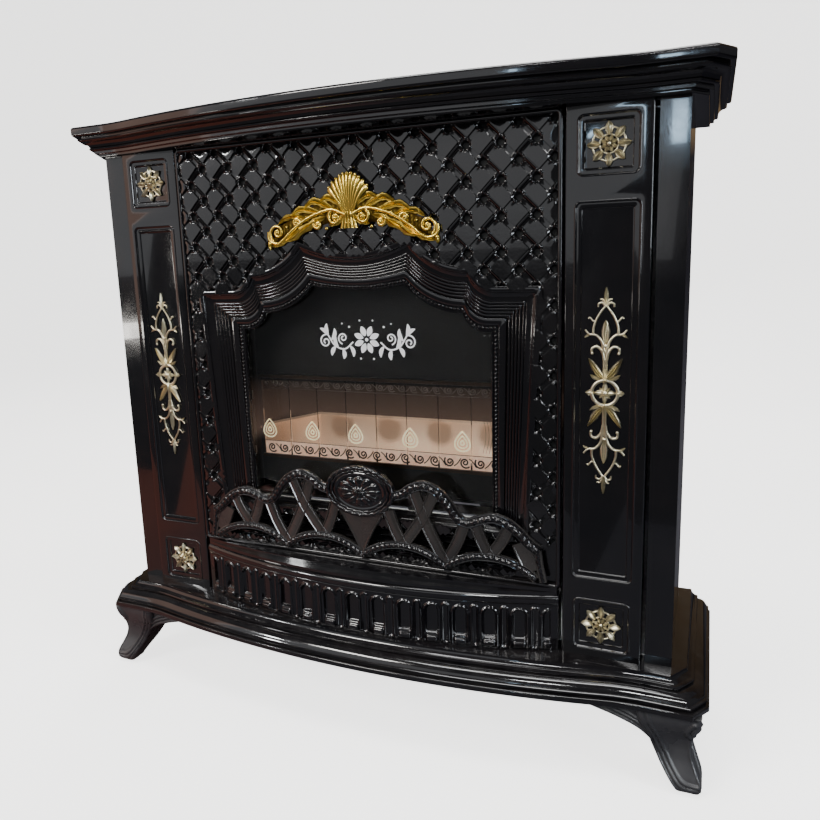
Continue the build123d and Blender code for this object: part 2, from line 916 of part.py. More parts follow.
def air_louvre():
    """Slatted air inlet behind the fender."""
    rim_half = louvre_half + louvre_rim
    low = body_mid + louvre_low - louvre_rim / 2
    high = body_mid + louvre_high
    back = panel_plate + thin_sheet
    rim = block(-rim_half, rim_half, panel_plate, back, low, high)
    rim -= block(-louvre_half, louvre_half, panel_plate, back, low + louvre_rim, high - louvre_rim)
    slats = []
    pitch = (high - low - 2 * louvre_rim) / louvre_slats
    middle = back + louvre_slat_depth / 2
    for index in range(louvre_slats):
        z = low + louvre_rim + (index + 0.5) * pitch
        slat = Box(2 * louvre_half + louvre_rim, louvre_slat_depth, thin_sheet)
        slats.append(Pos(0, middle, z) * Rot(louvre_slat_tilt, 0, 0) * slat)
    for side in (-1, 1):
        x = side * (louvre_half + louvre_rim / 2)
        slats.append(block(x - thin_sheet, x + thin_sheet, back, back + louvre_slat_depth, low, high))
    return rim + slats


def bow_face(half, bow, back, inset=0.0):
    """Plan with a straight back and a front arc, the arc set in from the one of the given bow."""
    radius = (half * half + bow * bow) / (2 * bow)
    end = radius - bow - math.sqrt((radius - inset) ** 2 - half * half)
    outline = Wire(
        [
            ThreePointArc((-half, end, 0), (0, inset - bow, 0), (half, end, 0)),
            Line((half, end, 0), (half, back, 0)),
            Line((half, back, 0), (-half, back, 0)),
            Line((-half, back, 0), (-half, end, 0)),
        ]
    )
    return Face(outline)


def hearth_shelf():
    """Stepped shelf under the fender, bowed to the front."""
    inside = apron_half - sheet
    back = panel_plate + louvre_slat_depth
    step = hearth_low + hearth_layer
    lower = extrude(Pos(0, 0, hearth_low) * bow_face(inside, hearth_bow, back), hearth_layer)
    upper = extrude(Pos(0, 0, step) * bow_face(inside, hearth_bow - hearth_step, back), panel_bottom - step)
    return lower + upper


def apron_shell(outer_inset, inner_inset, low, high):
    """Curved layer of the apron's wall between two insets from its outer face."""
    outer = bow_face(apron_half, apron_bow, apron_return, outer_inset)
    inner = bow_face(apron_half, apron_bow, apron_return, inner_inset)
    return extrude(Pos(0, 0, low) * (outer - inner), high - low)


def apron():
    """Bowed apron with a chamfered lip and a row of round-headed flutes."""
    wall = apron_shell(0, apron_thick, body_bottom, hearth_low - free_gap)
    top = wall.faces().sort_by(Axis.Z)[-1]
    lip = top.edges().filter_by(GeomType.CIRCLE).sort_by(Axis.Y)[0]
    wall = chamfer(lip, apron_thick / 2)
    skin = apron_shell(0, flute_depth, body_bottom, hearth_low)
    pitch = 2 * apron_half / (flute_count + 0.5)
    shoulder = flute_high - flute_width / 2
    flute = Pos(0, (flute_low + shoulder) / 2) * Rectangle(flute_width, shoulder - flute_low)
    flute += Pos(0, shoulder) * Circle(flute_width / 2)
    cuts = []
    for index in range(flute_count):
        x = (index - (flute_count - 1) / 2) * pitch
        cuts.append(front_plate(Pos(x, 0) * flute, -2 * apron_bow, 0) & skin)
    return wall - cuts


def rosette(x_side, z):
    """Eight-petalled cast rosette in a square panel."""
    x = x_side * pilaster_middle
    floor = 2 * sunk_step
    corners = []
    for index in range(2 * rosette_petals):
        reach = rosette_valley if index % 2 else rosette_radius
        angle = math.pi * index / rosette_petals
        corners.append((reach * math.sin(angle), reach * math.cos(angle), 0))
    petals = Face(Wire.make_polygon(corners, close=True))
    plate = front_plate(Pos(x, z) * petals, floor - rosette_plate, floor)
    return plate + rod(rosette_boss, (x, floor, z), (0, -1, 0), rosette_height)


def ornament(side):
    """Slender openwork ornament on a pilaster: a stem with leaves, scrolls and a centre flower."""
    floor = 2 * sunk_step
    centre = Pos(side * pilaster_middle, body_mid + ornament_mid_z)
    bud_z, bud_half = ornament_bud
    face = Rectangle(ornament_thick, 2 * bud_z)
    face += Circle(ornament_ring)
    for way in (-1, 1):
        for z, half in ornament_leaves:
            face += Pos(0, way * z) * lozenge(half, ornament_leaf_half)
        face += Pos(0, way * bud_z) * lozenge(bud_half, ornament_half - bud_z)
    return front_plate(centre * face, floor - ornament_thick, floor)


def lozenge(half_x, half_z):
    """Diamond face about its own middle."""
    corners = [(half_x, 0, 0), (0, half_z, 0), (-half_x, 0, 0), (0, -half_z, 0)]
    return Face(Wire.make_polygon(corners, close=True))


def crest():
    """Gilt shell with a leafy swag to each side."""
    face = Pos(0, crest_z) * shell_fan()
    for side in (-1, 1):
        face += ribbon([(side * x, crest_z + z) for x, z in crest_swag], crest_swag_width)
        face += Pos(side * crest_curl[0], crest_z + crest_curl[1]) * Circle(crest_curl_radius)
    return front_plate(Pos(0, body_mid) * face, -panel_relief - crest_thick, -panel_relief)


def shell_fan():
    """Fan outline of the crest's shell, its lobes drawn in towards the sides."""
    face = Rectangle(crest_shell_half, crest_height / 2)
    for index in range(crest_lobes):
        turn = (index - (crest_lobes - 1) / 2) * crest_lobe_turn
        rise = crest_height * math.cos(math.radians(turn) / 2)
        lobe = Ellipse(crest_height / crest_lobes, rise / 2)
        face += Rot(0, 0, -turn) * Pos(0, rise / 2) * lobe
    return face


def rear_cover():
    """Rear sheet with a bank of air slots, the flue opening and the gas inlet opening."""
    half = body_width / 2
    back = side_back + thin_sheet
    cover = block(-half, half, side_back, back, body_bottom, body_top)
    slots = []
    for column in range(vent_columns):
        for row in range(vent_rows):
            x = (column - (vent_columns - 1) / 2) * vent_pitch_x
            slot = Pos(x, vent_low + row * vent_pitch_z) * Rectangle(vent_length, vent_width)
            slots.append(front_plate(slot, side_back, back))
    flue = rod(flue_radius + hole_gap, (0, side_back, flue_z), (0, 1, 0), thin_sheet)
    inlet = rod(inlet_radius + hole_gap, (inlet_x(), side_back, control_z), (0, 1, 0), thin_sheet)
    return cover - slots - flue - inlet


def rear_screws():
    """Hexagon screw heads that hold the rear sheet to the side flanges."""
    screws = []
    x = body_width / 2 - rear_flange / 2
    for side in (-1, 1):
        for row in range(screw_rows):
            z = body_bottom + (row + 0.5) * (body_top - body_bottom) / screw_rows
            screws.append(hexagon(screw_head, (side * x, side_back + thin_sheet, z), (0, 1, 0), sheet))
    return screws


def top_shield():
    """Heat shield sheet under the mantel."""
    half = body_width / 2 - sheet
    low = body_top - shield_drop
    return block(-half, half, pilaster_depth + sheet, side_back - sheet, low, low + sheet)


def firebox():
    """Sheet-steel fire chamber with a wide mouth at the glass strips and a flue outlet behind."""
    half = fire_half - sheet
    outer = block(-fire_half, fire_half, fire_front, fire_back, fire_low, fire_high)
    inner = block(-half, half, fire_front + sheet, fire_back - sheet, fire_low + sheet, fire_high - sheet)
    low = strip_low + strip_lap
    mouth = block(-rail_half, rail_half, fire_front, fire_front + sheet, low, strip_high - strip_lap)
    outlet_half = hood_half / 2
    outlet_low = flue_z - flue_radius / 2
    outlet_high = fire_high - rail_depth
    outlet = block(-outlet_half, outlet_half, fire_back - sheet, fire_back, outlet_low, outlet_high)
    feed = rod(injector_radius + hole_gap, (-fire_half, burner_y, burner_z), (1, 0, 0), sheet)
    return outer - inner - mouth - outlet - feed


def firebox_legs():
    """Folded sheet legs between the base pan and the fire chamber."""
    legs = []
    low = body_bottom + thin_sheet
    front = fire_front + leg_flange
    for side in (-1, 1):
        x = side * (fire_half - leg_width / 2)
        leg = block(x - thin_sheet / 2, x + thin_sheet / 2, front, fire_back, low, fire_low)
        for z in (low, fire_low - thin_sheet):
            leg += block(x - leg_flange, x + leg_flange, front, fire_back, z, z + thin_sheet)
        legs.append(leg)
    return legs


def glass_strips():
    """Upright heat-glass strips side by side in front of the fire chamber."""
    strips = []
    half = (strip_pitch - strip_gap) / 2
    front = fire_front - strip_thick
    for index in range(strip_count):
        x = (index - (strip_count - 1) / 2) * strip_pitch
        strips.append(block(x - half, x + half, front, fire_front, strip_low, strip_high))
    return strips


def strip_rail(z, way):
    """Folded rail that holds one end of the glass strips."""
    low = z if way > 0 else z - rail_height
    high = low + rail_height
    channel = block(-rail_half, rail_half, fire_front - rail_depth, fire_front, low, high)
    slot_low = low + thin_sheet if way > 0 else low
    slot_high = high if way > 0 else high - thin_sheet
    half = rail_half - sheet
    groove = block(-half, half, fire_front - strip_thick, fire_front, slot_low, slot_high)
    return channel - groove


def window_liner():
    """Dark sheet tunnel between the window and the fire chamber."""
    front = glass_front() + glass_thick + 2 * sheet
    half = liner_half - thin_sheet
    outer = block(-liner_half, liner_half, front, fire_front, liner_low, liner_high)
    inner = block(-half, half, front, fire_front, liner_low + thin_sheet, liner_high - thin_sheet)
    return outer - inner


def reflector():
    """Bright folded sheet at the back and on the floor of the fire chamber, with a ledge along its top."""
    back = fire_back - sheet
    half = fire_half - 4 * sheet
    low = fire_low + sheet
    upright = block(-half, half, back - thin_sheet, back, low, reflector_top)
    ledge = block(-half, half, back - reflector_ledge, back, reflector_top - thin_sheet, reflector_top)
    tray = block(-half, half, fire_front + 2 * sheet, back, low, low + thin_sheet)
    return upright + ledge + tray


def burner_tube():
    """Round burner bar across the fire chamber with a row of slotted ports."""
    half = fire_half - sheet
    start = (-half, burner_y, burner_z)
    tube = rod(burner_radius, start, (1, 0, 0), 2 * half)
    bore = rod(burner_bore, start, (1, 0, 0), 2 * half - sheet)
    ports = []
    pitch = 2 * (half - burner_radius) / (port_count + 1)
    reach = port_width * 2
    top = burner_z + burner_radius
    for index in range(port_count):
        x = (index - (port_count - 1) / 2) * pitch
        left, right = x - port_width / 2, x + port_width / 2
        ports.append(block(left, right, burner_y - reach, burner_y + reach, burner_z, top))
    return tube - bore - ports


def injector():
    """Brass injector with a hexagon collar that feeds the burner through the chamber's left wall."""
    start = (-fire_half - injector_length, burner_y, burner_z)
    nozzle = rod(injector_radius, start, (1, 0, 0), injector_length + 2 * sheet)
    flats = hexagon(burner_bore, (-fire_half - 2 * sheet, burner_y, burner_z), (1, 0, 0), 2 * sheet)
    return nozzle + flats


def pilot_burner():
    """Pilot head on a bracket that stands on the tray."""
    low = fire_low + sheet + thin_sheet
    y = pilot_y()
    right = pilot_x + 3 * probe_pitch
    post = rod(pilot_radius, (pilot_x, y, low), (0, 0, 1), pilot_height)
    arm = block(pilot_x - pilot_radius, right, y - pilot_radius, y + pilot_radius, low, low + sheet)
    return post + arm


def pilot_y():
    """Depth of the pilot's row, in front of the burner."""
    return burner_y - burner_radius - 3 * pilot_radius


def pilot_probe(step, rise):
    """Slim upright probe beside the pilot, standing on the pilot's bracket."""
    low = fire_low + 2 * sheet + thin_sheet
    x = pilot_x + step * probe_pitch
    return rod(probe_radius, (x, pilot_y(), low), (0, 0, 1), probe_length + rise)


def draught_hood():
    """Draught diverter box on the back of the fire chamber, open below."""
    low = flue_z - hood_height / 2
    high = flue_z + hood_height / 2
    half = hood_half - thin_sheet
    outer = block(-hood_half, hood_half, fire_back, side_back, low, high)
    inner = block(-half, half, fire_back, side_back - thin_sheet, low, high - thin_sheet)
    opening = rod(flue_radius - flue_neck, (0, fire_back, flue_z), (0, 1, 0), hood_depth)
    return outer - inner - opening


def flue_collar():
    """Round flue spigot with a drawn-in neck where it passes the rear sheet."""
    start = side_back - thin_sheet
    step = side_back + thin_sheet + sheet / 2
    end = side_back + flue_reach
    neck = rod(flue_radius - flue_neck, (0, start, flue_z), (0, 1, 0), step - start)
    spigot = rod(flue_radius, (0, step, flue_z), (0, 1, 0), end - step)
    inner = rod(flue_radius - flue_wall, (0, start, flue_z), (0, 1, 0), end - start)
    return neck + spigot - inner


def valve_face():
    """X of the valve's outer end inside the left wall."""
    return -body_width / 2 + sheet + valve_inset


def gas_valve():
    """Thermostatic gas valve block with a spindle bore."""
    x0 = valve_face()
    low, high = control_z - valve_half_z, control_z + valve_half_z
    body = block(x0, x0 + valve_length, control_y - valve_half_y, control_y + valve_half_y, low, high)
    body = chamfer(body.edges().filter_by(Axis.X), 2 * sheet)
    start = (x0 - valve_inset / 2, control_y, control_z)
    neck = rod(valve_neck, start, (1, 0, 0), valve_inset / 2)
    bore = rod(spindle_radius + running_gap, start, (1, 0, 0), valve_inset)
    return body + neck - bore


def knob_face():
    """X of the knob's rear face at rest, clear of the plate by its travel."""
    return -body_width / 2 - thin_sheet - push_travel - 2 * free_gap


def valve_spindle():
    """Spindle that slides in the valve and carries the knob."""
    outer = knob_face()
    inner = valve_face() + valve_inset / 2 - push_travel - 2 * free_gap
    shaft = rod(spindle_radius, (outer, control_y, control_z), (1, 0, 0), inner - outer)
    return shaft + rod(stub_radius, (outer, control_y, control_z), (-1, 0, 0), spindle_stub)


def control_knob():
    """Gripped knob with a skirt and a blind socket for the spindle's end."""
    start = (knob_face(), control_y, control_z)
    grip = knob_radius - knob_skirt
    corners = []
    for index in range(2 * knob_grips):
        angle = math.pi * index / knob_grips
        reach = grip - knob_grip_depth * (index % 2)
        corners.append((reach * math.cos(angle), reach * math.sin(angle), 0))
    plane = Plane(origin=start, x_dir=(0, 1, 0), z_dir=(-1, 0, 0))
    knob = extrude(plane * Face(Wire.make_polygon(corners, close=True)), knob_length)
    knob += rod(knob_radius, start, (-1, 0, 0), knob_skirt)
    return knob - rod(stub_radius + running_gap, start, (-1, 0, 0), spindle_stub + free_gap)


def valve_bracket():
    """Folded bracket that carries the valve on the base pan."""
    low = body_bottom + thin_sheet
    high = control_z - valve_half_z
    x0 = valve_face() + sheet
    x1 = valve_face() + valve_length - sheet
    front = control_y - valve_half_y + sheet
    back = control_y + valve_half_y - sheet
    web = block(x0, x0 + thin_sheet, front, back, low, high)
    shelf = block(x0, x1, front, back, high - thin_sheet, high)
    foot_plate = block(x0, x1, front, back, low, low + thin_sheet)
    return web + shelf + foot_plate


def igniter_body():
    """Piezo igniter barrel with a hexagon collar, fixed in the control plate."""
    start = (igniter_face(), control_y, igniter_z)
    barrel = rod(igniter_radius, start, (1, 0, 0), igniter_length)
    collar = hexagon(igniter_collar, start, (1, 0, 0), sheet)
    bore = rod(button_radius + running_gap, start, (1, 0, 0), igniter_length / 2 + button_travel)
    return barrel + collar - bore


def igniter_face():
    """X of the igniter's outer face."""
    return -body_width / 2 - thin_sheet - sheet


def igniter_button():
    """Round igniter push button with its guide stem."""
    start = (igniter_face() - button_length, control_y, igniter_z)
    return rod(button_radius, start, (1, 0, 0), button_length + igniter_length / 2 - sheet / 2)


def control_plate():
    """Flat bezel on the left side around the knob and the igniter."""
    outer = -body_width / 2
    low = control_z - plate_foot
    high = igniter_z + plate_margin
    plane = Plane(origin=(outer, control_y, (low + high) / 2), x_dir=(0, 1, 0), z_dir=(-1, 0, 0))
    plate = extrude(plane * RectangleRounded(2 * plate_half_y, high - low, sunk_corner), thin_sheet)
    return plate - control_holes(outer)


def inlet_x():
    """X of the supply line, in line with the valve's middle."""
    return valve_face() + valve_length / 2


def inlet_pipe():
    """Straight supply pipe from the rear inlet fitting to the valve."""
    entry = control_y + valve_half_y
    return rod(pipe_radius, (inlet_x(), entry, control_z), (0, 1, 0), side_back - inlet_length - entry)


def burner_pipe():
    """Pipe from the valve's top up and across to the burner's injector, through a square elbow."""
    x0 = inlet_x()
    x1 = -fire_half - injector_length
    low = control_z + valve_half_z
    riser = rod(pipe_radius, (x0, burner_y, low), (0, 0, 1), burner_z - low)
    run = rod(pipe_radius, (x0, burner_y, burner_z), (1, 0, 0), x1 - x0)
    elbow = chamfer(Box(2 * elbow_half, 2 * elbow_half, 2 * elbow_half).edges(), sheet)
    return riser + Pos(x0, burner_y, burner_z) * elbow + run


def inlet_fitting():
    """Threaded male inlet through the rear sheet with a hexagon inside."""
    start = (inlet_x(), side_back - inlet_length, control_z)
    step = side_back + thin_sheet + thin_sheet
    neck_length = step - start[1]
    nut = hexagon(inlet_hex, start, (0, 1, 0), inlet_length / 2)
    neck = rod(inlet_radius - inlet_neck, start, (0, 1, 0), neck_length)
    nipple = rod(inlet_radius, (inlet_x(), step, control_z), (0, 1, 0), inlet_end - step)
    bore = rod(pipe_radius, start, (0, 1, 0), inlet_end - start[1])
    return nut + neck + nipple - bore


def inlet_bracket():
    """Small angle that holds the inlet fitting above the base pan."""
    low = body_bottom + thin_sheet
    start = side_back - inlet_length / 2
    half = inlet_hex + sheet
    x = inlet_x()
    plate = block(x - half, x + half, start, start + sheet, low, control_z + half)
    plate += block(x - half, x + half, start - 2 * half, start, low, low + sheet)
    hole = rod(inlet_radius - inlet_neck + running_gap, (x, start, control_z), (0, 1, 0), sheet)
    return plate - hole


def foot_bolts():
    """Hexagon bolt heads under the lugs of the feet."""
    bolts = []
    middle = (foot_lug_near + foot_lug_far) / 2
    for side in (-1, 1):
        x = side * (body_width / 2 - plinth_flange_inset + bolt_head)
        for y in (foot_front_y + middle, foot_rear_y - middle):
            start = (x, y, foot_height - foot_lug)
            bolts.append(hexagon(bolt_head, start, (0, 0, -1), 2 * sheet))
    return bolts


def write_parts():
    """Builds every node and writes it to its own file."""
    os.makedirs("parts", exist_ok=True)
    save("mantel_top", mantel_top())
    save("base_plinth", base_plinth())
    save("base_pan", base_pan())
    sides = {"left": -1, "right": 1}
    ends = {"front": -1, "rear": 1}
    for side_name, side in sides.items():
        for end_name, end in ends.items():
            save("foot_" + end_name + "_" + side_name, foot(side, end))
        save("pilaster_" + side_name, pilaster(side))
        save("side_panel_" + side_name, side_panel(side))
        save("rosette_upper_" + side_name, rosette(side, upper_square_z))
        save("rosette_lower_" + side_name, rosette(side, lower_square_z))
        save("ornament_" + side_name, ornament(side))
    save("front_panel", front_panel())
    save("window_frame", window_frame())
    save("window_gasket", window_gasket())
    save("window_glass", window_glass())
    save("glass_clips", *glass_clips())
    save("fender", fender())
    save("air_louvre", air_louvre())
    save("hearth_shelf", hearth_shelf())
    save("apron", apron())
    save("crest", crest())
    save("rear_cover", rear_cover())
    save("rear_screws", *rear_screws())
    save("top_shield", top_shield())
    save("firebox", firebox())
    save("firebox_legs", *firebox_legs())
    save("glass_strips", *glass_strips())
    save("strip_rail_lower", strip_rail(strip_low - thin_sheet, 1))
    save("strip_rail_upper", strip_rail(strip_high + thin_sheet, -1))
    save("window_liner", window_liner())
    save("reflector", reflector())
    save("burner_tube", burner_tube())
    save("burner_injector", injector())
    save("pilot_burner", pilot_burner())
    save("thermocouple", pilot_probe(1, 0))
    save("spark_electrode", pilot_probe(2, electrode_rise))
    save("draught_hood", draught_hood())
    save("flue_collar", flue_collar())
    save("gas_valve", gas_valve())
    save("valve_bracket", valve_bracket())
    save("valve_spindle", valve_spindle())
    save("control_knob", control_knob())
    save("control_plate", control_plate())
    save("igniter_body", igniter_body())
    save("igniter_button", igniter_button())
    save("inlet_pipe", inlet_pipe())
    save("burner_pipe", burner_pipe())
    save("inlet_fitting", inlet_fitting())
    save("inlet_bracket", inlet_bracket())
    save("foot_bolts", *foot_bolts())


write_parts()
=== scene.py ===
"""Dressed model of a mantel-style gas heater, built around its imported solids.

Sizes are in millimetres in the maker's own frame: X to the right, Y from the pilaster faces
into the body, Z up. Heights called "rise" count from the window's middle. Meshes are written
in metres in the row frame.
"""

from __future__ import annotations

import json
import logging
import math
from dataclasses import dataclass, field
from enum import Enum
from typing import Sequence

import bmesh
import bpy
import numpy as np
from mathutils import Matrix, Vector

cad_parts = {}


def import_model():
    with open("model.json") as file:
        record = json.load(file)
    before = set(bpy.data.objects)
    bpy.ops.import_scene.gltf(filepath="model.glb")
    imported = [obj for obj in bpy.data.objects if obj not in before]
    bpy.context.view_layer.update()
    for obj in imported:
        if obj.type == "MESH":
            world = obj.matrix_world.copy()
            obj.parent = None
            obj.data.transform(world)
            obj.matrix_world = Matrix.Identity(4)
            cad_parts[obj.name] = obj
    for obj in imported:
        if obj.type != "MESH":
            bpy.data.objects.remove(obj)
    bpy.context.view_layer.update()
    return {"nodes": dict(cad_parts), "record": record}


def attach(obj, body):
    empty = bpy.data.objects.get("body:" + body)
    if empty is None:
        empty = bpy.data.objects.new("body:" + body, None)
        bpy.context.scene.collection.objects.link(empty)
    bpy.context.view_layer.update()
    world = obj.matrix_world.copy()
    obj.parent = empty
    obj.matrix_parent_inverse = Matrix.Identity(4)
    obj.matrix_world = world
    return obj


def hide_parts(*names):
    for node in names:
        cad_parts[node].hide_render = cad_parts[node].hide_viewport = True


log = logging.getLogger("heater")
Array = np.ndarray
Pair = tuple[float, float]
Triple = tuple[float, float, float]
Points = Sequence[Pair]
Socket = bpy.types.NodeSocket
Node = bpy.types.Node
Material = bpy.types.Material

METRE = 0.001
ROW_SHIFT = 84.75
MIDDLE = 505.0
FOOT_TOP = 109.0
BODY_BOTTOM = 149.0
BODY_TOP = 860.0
REAR = 253.0
PILASTER_MIDDLE = 347.5
LOWER_PANEL = 195.0
UPPER_PANEL = 814.0
HALF_BODY = 438.0
ROOT_BODY = "heater"
SHARP_ANGLE = 38.0
MERGE_DISTANCE = 2e-6


class Slot(Enum):
    """Material slots of the record, by the maker's plain names."""

    ENAMEL = "black_enamel"
    FOOT = "foot_grey"
    ANTIQUE = "antique_brass"
    GILT = "gilt"
    GLASS = "window_glass"
    STRIP = "strip_glass"
    ROPE_SEAL = "fibre_rope"
    SPRING = "spring_steel"
    RAIL = "rail_copper"
    BLACK_STEEL = "black_steel"
    ZINC = "zinc_sheet"
    COPPER = "copper"
    BURNER = "burner_steel"
    BRASS = "brass"
    CERAMIC = "electrode_ceramic"
    CAST = "cast_aluminium"
    PIPE = "aluminium_pipe"
    KNOB = "knob_black"
    BUTTON = "button_red"
    PLATE = "plate_steel"


def shares(count: int, first: float = 0.0) -> Array:
    """Even steps from the first value to 1."""
    return np.linspace(first, 1.0, count)


def whole_turn(count: int) -> Array:
    """Even angles round a circle, the end left out."""
    return np.linspace(0.0, 2 * math.pi, count, endpoint=False)


def quarter_turn(count: int) -> Array:
    """Even angles over a quarter circle."""
    return np.linspace(0.0, math.pi / 2, count)


def smooth_line(points: Array, count: int, closed: bool = False) -> Array:
    """Even samples on a centripetal-like cubic through given points.

    Each span is the cubic p1 + s(p2-p0)/2 + s^2(p0-5p1/2+2p2-p3/2) + s^3(3(p1-p2)+p3-p0)/2.

    Args:
        points: (k, d) points that the line passes through.
        count: number of samples.
        closed: True where the last point joins the first.

    Returns:
        (count, d) samples.
    """
    base = np.asarray(points, float)
    spans = len(base) if closed else len(base) - 1
    at = np.linspace(0.0, spans, count, endpoint=not closed)
    span = np.minimum(at.astype(int), spans - 1)
    share = (at - span)[:, None]
    if closed:
        padded = np.concatenate([base[-1:], base, base[:2]])
    else:
        padded = np.concatenate([2 * base[:1] - base[1:2], base, 2 * base[-1:] - base[-2:-1]])
    p0, p1, p2, p3 = (padded[span + step] for step in range(4))
    line = p1 + 0.5 * share * (p2 - p0)
    line += share**2 * (p0 - 2.5 * p1 + 2 * p2 - 0.5 * p3)
    line += 0.5 * share**3 * (3 * (p1 - p2) + p3 - p0)
    return line


def even_spacing(line: Array, count: int, closed: bool = False) -> Array:
    """Resamples a line at equal steps of its length.

    Args:
        line: (k, d) points.
        count: number of samples.
        closed: True where the last point joins the first.

    Returns:
        (count, d) samples.
    """
    run = np.concatenate([line, line[:1]]) if closed else line
    step = np.linalg.norm(np.diff(run, axis=0), axis=1)
    length = np.concatenate([[0.0], np.cumsum(step)])
    at = np.linspace(0.0, length[-1], count, endpoint=not closed)
    return np.stack([np.interp(at, length, run[:, axis]) for axis in range(run.shape[1])], 1)


def line_length(line: Array) -> float:
    """Length of a polyline."""
    return float(np.linalg.norm(np.diff(line, axis=0), axis=1).sum())


def side_vectors(line: Array, closed: bool = False) -> Array:
    """Unit vectors a quarter turn left of a plane line's direction.

    Args:
        line: (n, 2) points.
        closed: True for a closed line.

    Returns:
        (n, 2) unit vectors.
    """
    if closed:
        run = np.roll(line, -1, 0) - np.roll(line, 1, 0)
    else:
        run = np.gradient(line, axis=0)
    run = run / np.maximum(np.linalg.norm(run, axis=1, keepdims=True), 1e-9)
    return np.stack([-run[:, 1], run[:, 0]], 1)


def quads_of(index: Array) -> Array:
    """Corners of the quads between the neighbours of an index grid."""
    return np.stack([index[:-1, :-1], index[1:, :-1], index[1:, 1:], index[:-1, 1:]], -1).reshape(-1, 4)


@dataclass
class Shell:
    """Vertices and faces of one piece, gathered part by part in millimetres."""

    points: list[Array] = field(default_factory=list)
    faces: list[list[tuple[int, ...]]] = field(default_factory=list)
    crowns: list[Array] = field(default_factory=list)
    count: int = 0

    def add(self, points: Array, faces: list, crown: Array | float = 1.0) -> None:
        """Adds a part.

        Args:
            points: (n, 3) vertices.
            faces: index tuples into this part's vertices.
            crown: how exposed each vertex is, from 0 in a recess to 1 on a ridge; below 0 it marks a pit,
                which the enamel darkens as painted shade.
        """
        flat = np.asarray(points, float).reshape(-1, 3)
        self.points.append(flat)
        self.crowns.append(np.broadcast_to(np.asarray(crown, float).reshape(-1), (len(flat),)))
        self.faces.append([tuple(self.count + i for i in face) for face in faces])
        self.count += len(flat)

    def grid(self, points: Array, wrap: bool = False, ring: bool = False, caps: bool = False,
             crown: Array | float = 1.0) -> None:
        """Adds a surface given on a grid, its quads joining neighbours in rows and columns.

        Args:
            points: (n, m, 3) vertices.
            wrap: True where each row closes on itself.
            ring: True where the last row joins the first.
            caps: True to close the first and last rows with one face each.
            crown: (n, m) or one value, as in add.
        """
        rows, columns = points.shape[:2]
        index = np.arange(rows * columns).reshape(rows, columns)
        if wrap:
            index = np.concatenate([index, index[:, :1]], 1)
        if ring:
            index = np.concatenate([index, index[:1]], 0)
        faces = [tuple(quad) for quad in quads_of(index).tolist()]
        if caps:
            faces.append(tuple(range(columns - 1, -1, -1)))
            faces.append(tuple(range((rows - 1) * columns, rows * columns)))
        self.add(points, faces, crown)

    def slab(self, front: Array, back: float, crown: Array | float = 1.0) -> None:
        """Adds a relief: a front grid, a skirt along its edge and a flat back.

        Args:
            front: (n, m, 3) vertices of the front.
            back: depth of the flat back.
            crown: as in add, for the front.
        """
        rows, columns = front.shape[:2]
        index = np.arange(rows * columns).reshape(rows, columns)
        edge = np.concatenate([index[0, :-1], index[:-1, -1], index[-1, :0:-1], index[:0:-1, 0]])
        rim = front.reshape(-1, 3)[edge].copy()
        rim[:, 1] = back
        low = rows * columns + np.arange(len(edge))
        skirt = np.stack([edge, low, np.roll(low, -1), np.roll(edge, -1)], 1)
        faces = [tuple(face) for face in quads_of(index).tolist() + skirt.tolist()]
        faces.append(tuple(low.tolist()[::-1]))
        shade = np.broadcast_to(np.asarray(crown, float), (rows, columns)).reshape(-1)
        points = np.concatenate([front.reshape(-1, 3), rim])
        self.add(points, faces, np.concatenate([shade, np.zeros(len(edge))]))

    def box(self, low: Sequence[float], high: Sequence[float]) -> None:
        """Adds a block between two corners, for hidden trims that need no rounding."""
        lows, highs = np.asarray(low, float), np.asarray(high, float)
        bits = np.array([[i >> axis & 1 for axis in range(3)] for i in range(8)])
        faces = [(0, 2, 3, 1), (4, 5, 7, 6), (0, 1, 5, 4), (2, 6, 7, 3), (0, 4, 6, 2), (1, 3, 7, 5)]
        self.add(lows + bits * (highs - lows), faces)

    def piece(self, name: str, slot: Slot | None, body: str = ROOT_BODY, nodes: Sequence[str] = (),
              finish: str = "", angle: float = SHARP_ANGLE) -> bpy.types.Object:
        """Makes the piece: merges doubles, turns faces outwards, dresses it and hangs it on its body.

        Args:
            name: the piece's name.
            slot: the record's slot whose finish it takes, or None for a print.
            body: the body that it rides on.
            nodes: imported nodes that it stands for.
            finish: the palette's name where it isn't the slot's own.
            angle: edges that turn by more than this, in degrees, stay sharp.

        Returns:
            The new object.
        """
        points = np.concatenate(self.points)
        row = points * METRE - np.array([0.0, ROW_SHIFT * METRE, 0.0])
        mesh = bpy.data.meshes.new(name)
        mesh.from_pydata(row.tolist(), [], [face for part in self.faces for face in part])
        crown = mesh.attributes.new("crown", "FLOAT", "POINT")
        crown.data.foreach_set("value", np.concatenate(self.crowns).astype(np.float32))
        edit = bmesh.new()
        edit.from_mesh(mesh)
        bmesh.ops.remove_doubles(edit, verts=edit.verts, dist=MERGE_DISTANCE)
        bmesh.ops.dissolve_degenerate(edit, edges=edit.edges, dist=MERGE_DISTANCE)
        bmesh.ops.recalc_face_normals(edit, faces=edit.faces)
        edit.to_mesh(mesh)
        edit.free()
        mesh.polygons.foreach_set("use_smooth", np.ones(len(mesh.polygons), bool))
        mesh.set_sharp_from_angle(angle=math.radians(angle))
        piece = bpy.data.objects.new(name, mesh)
        bpy.context.scene.collection.objects.link(piece)
        piece.data.materials.append(PALETTE[finish or slot.value])
        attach(piece, body)
        if nodes:
            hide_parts(*nodes)
        log.info("%s: %d faces on %s", name, len(mesh.polygons), body)
        return piece


PALETTE: dict[str, Material] = {}


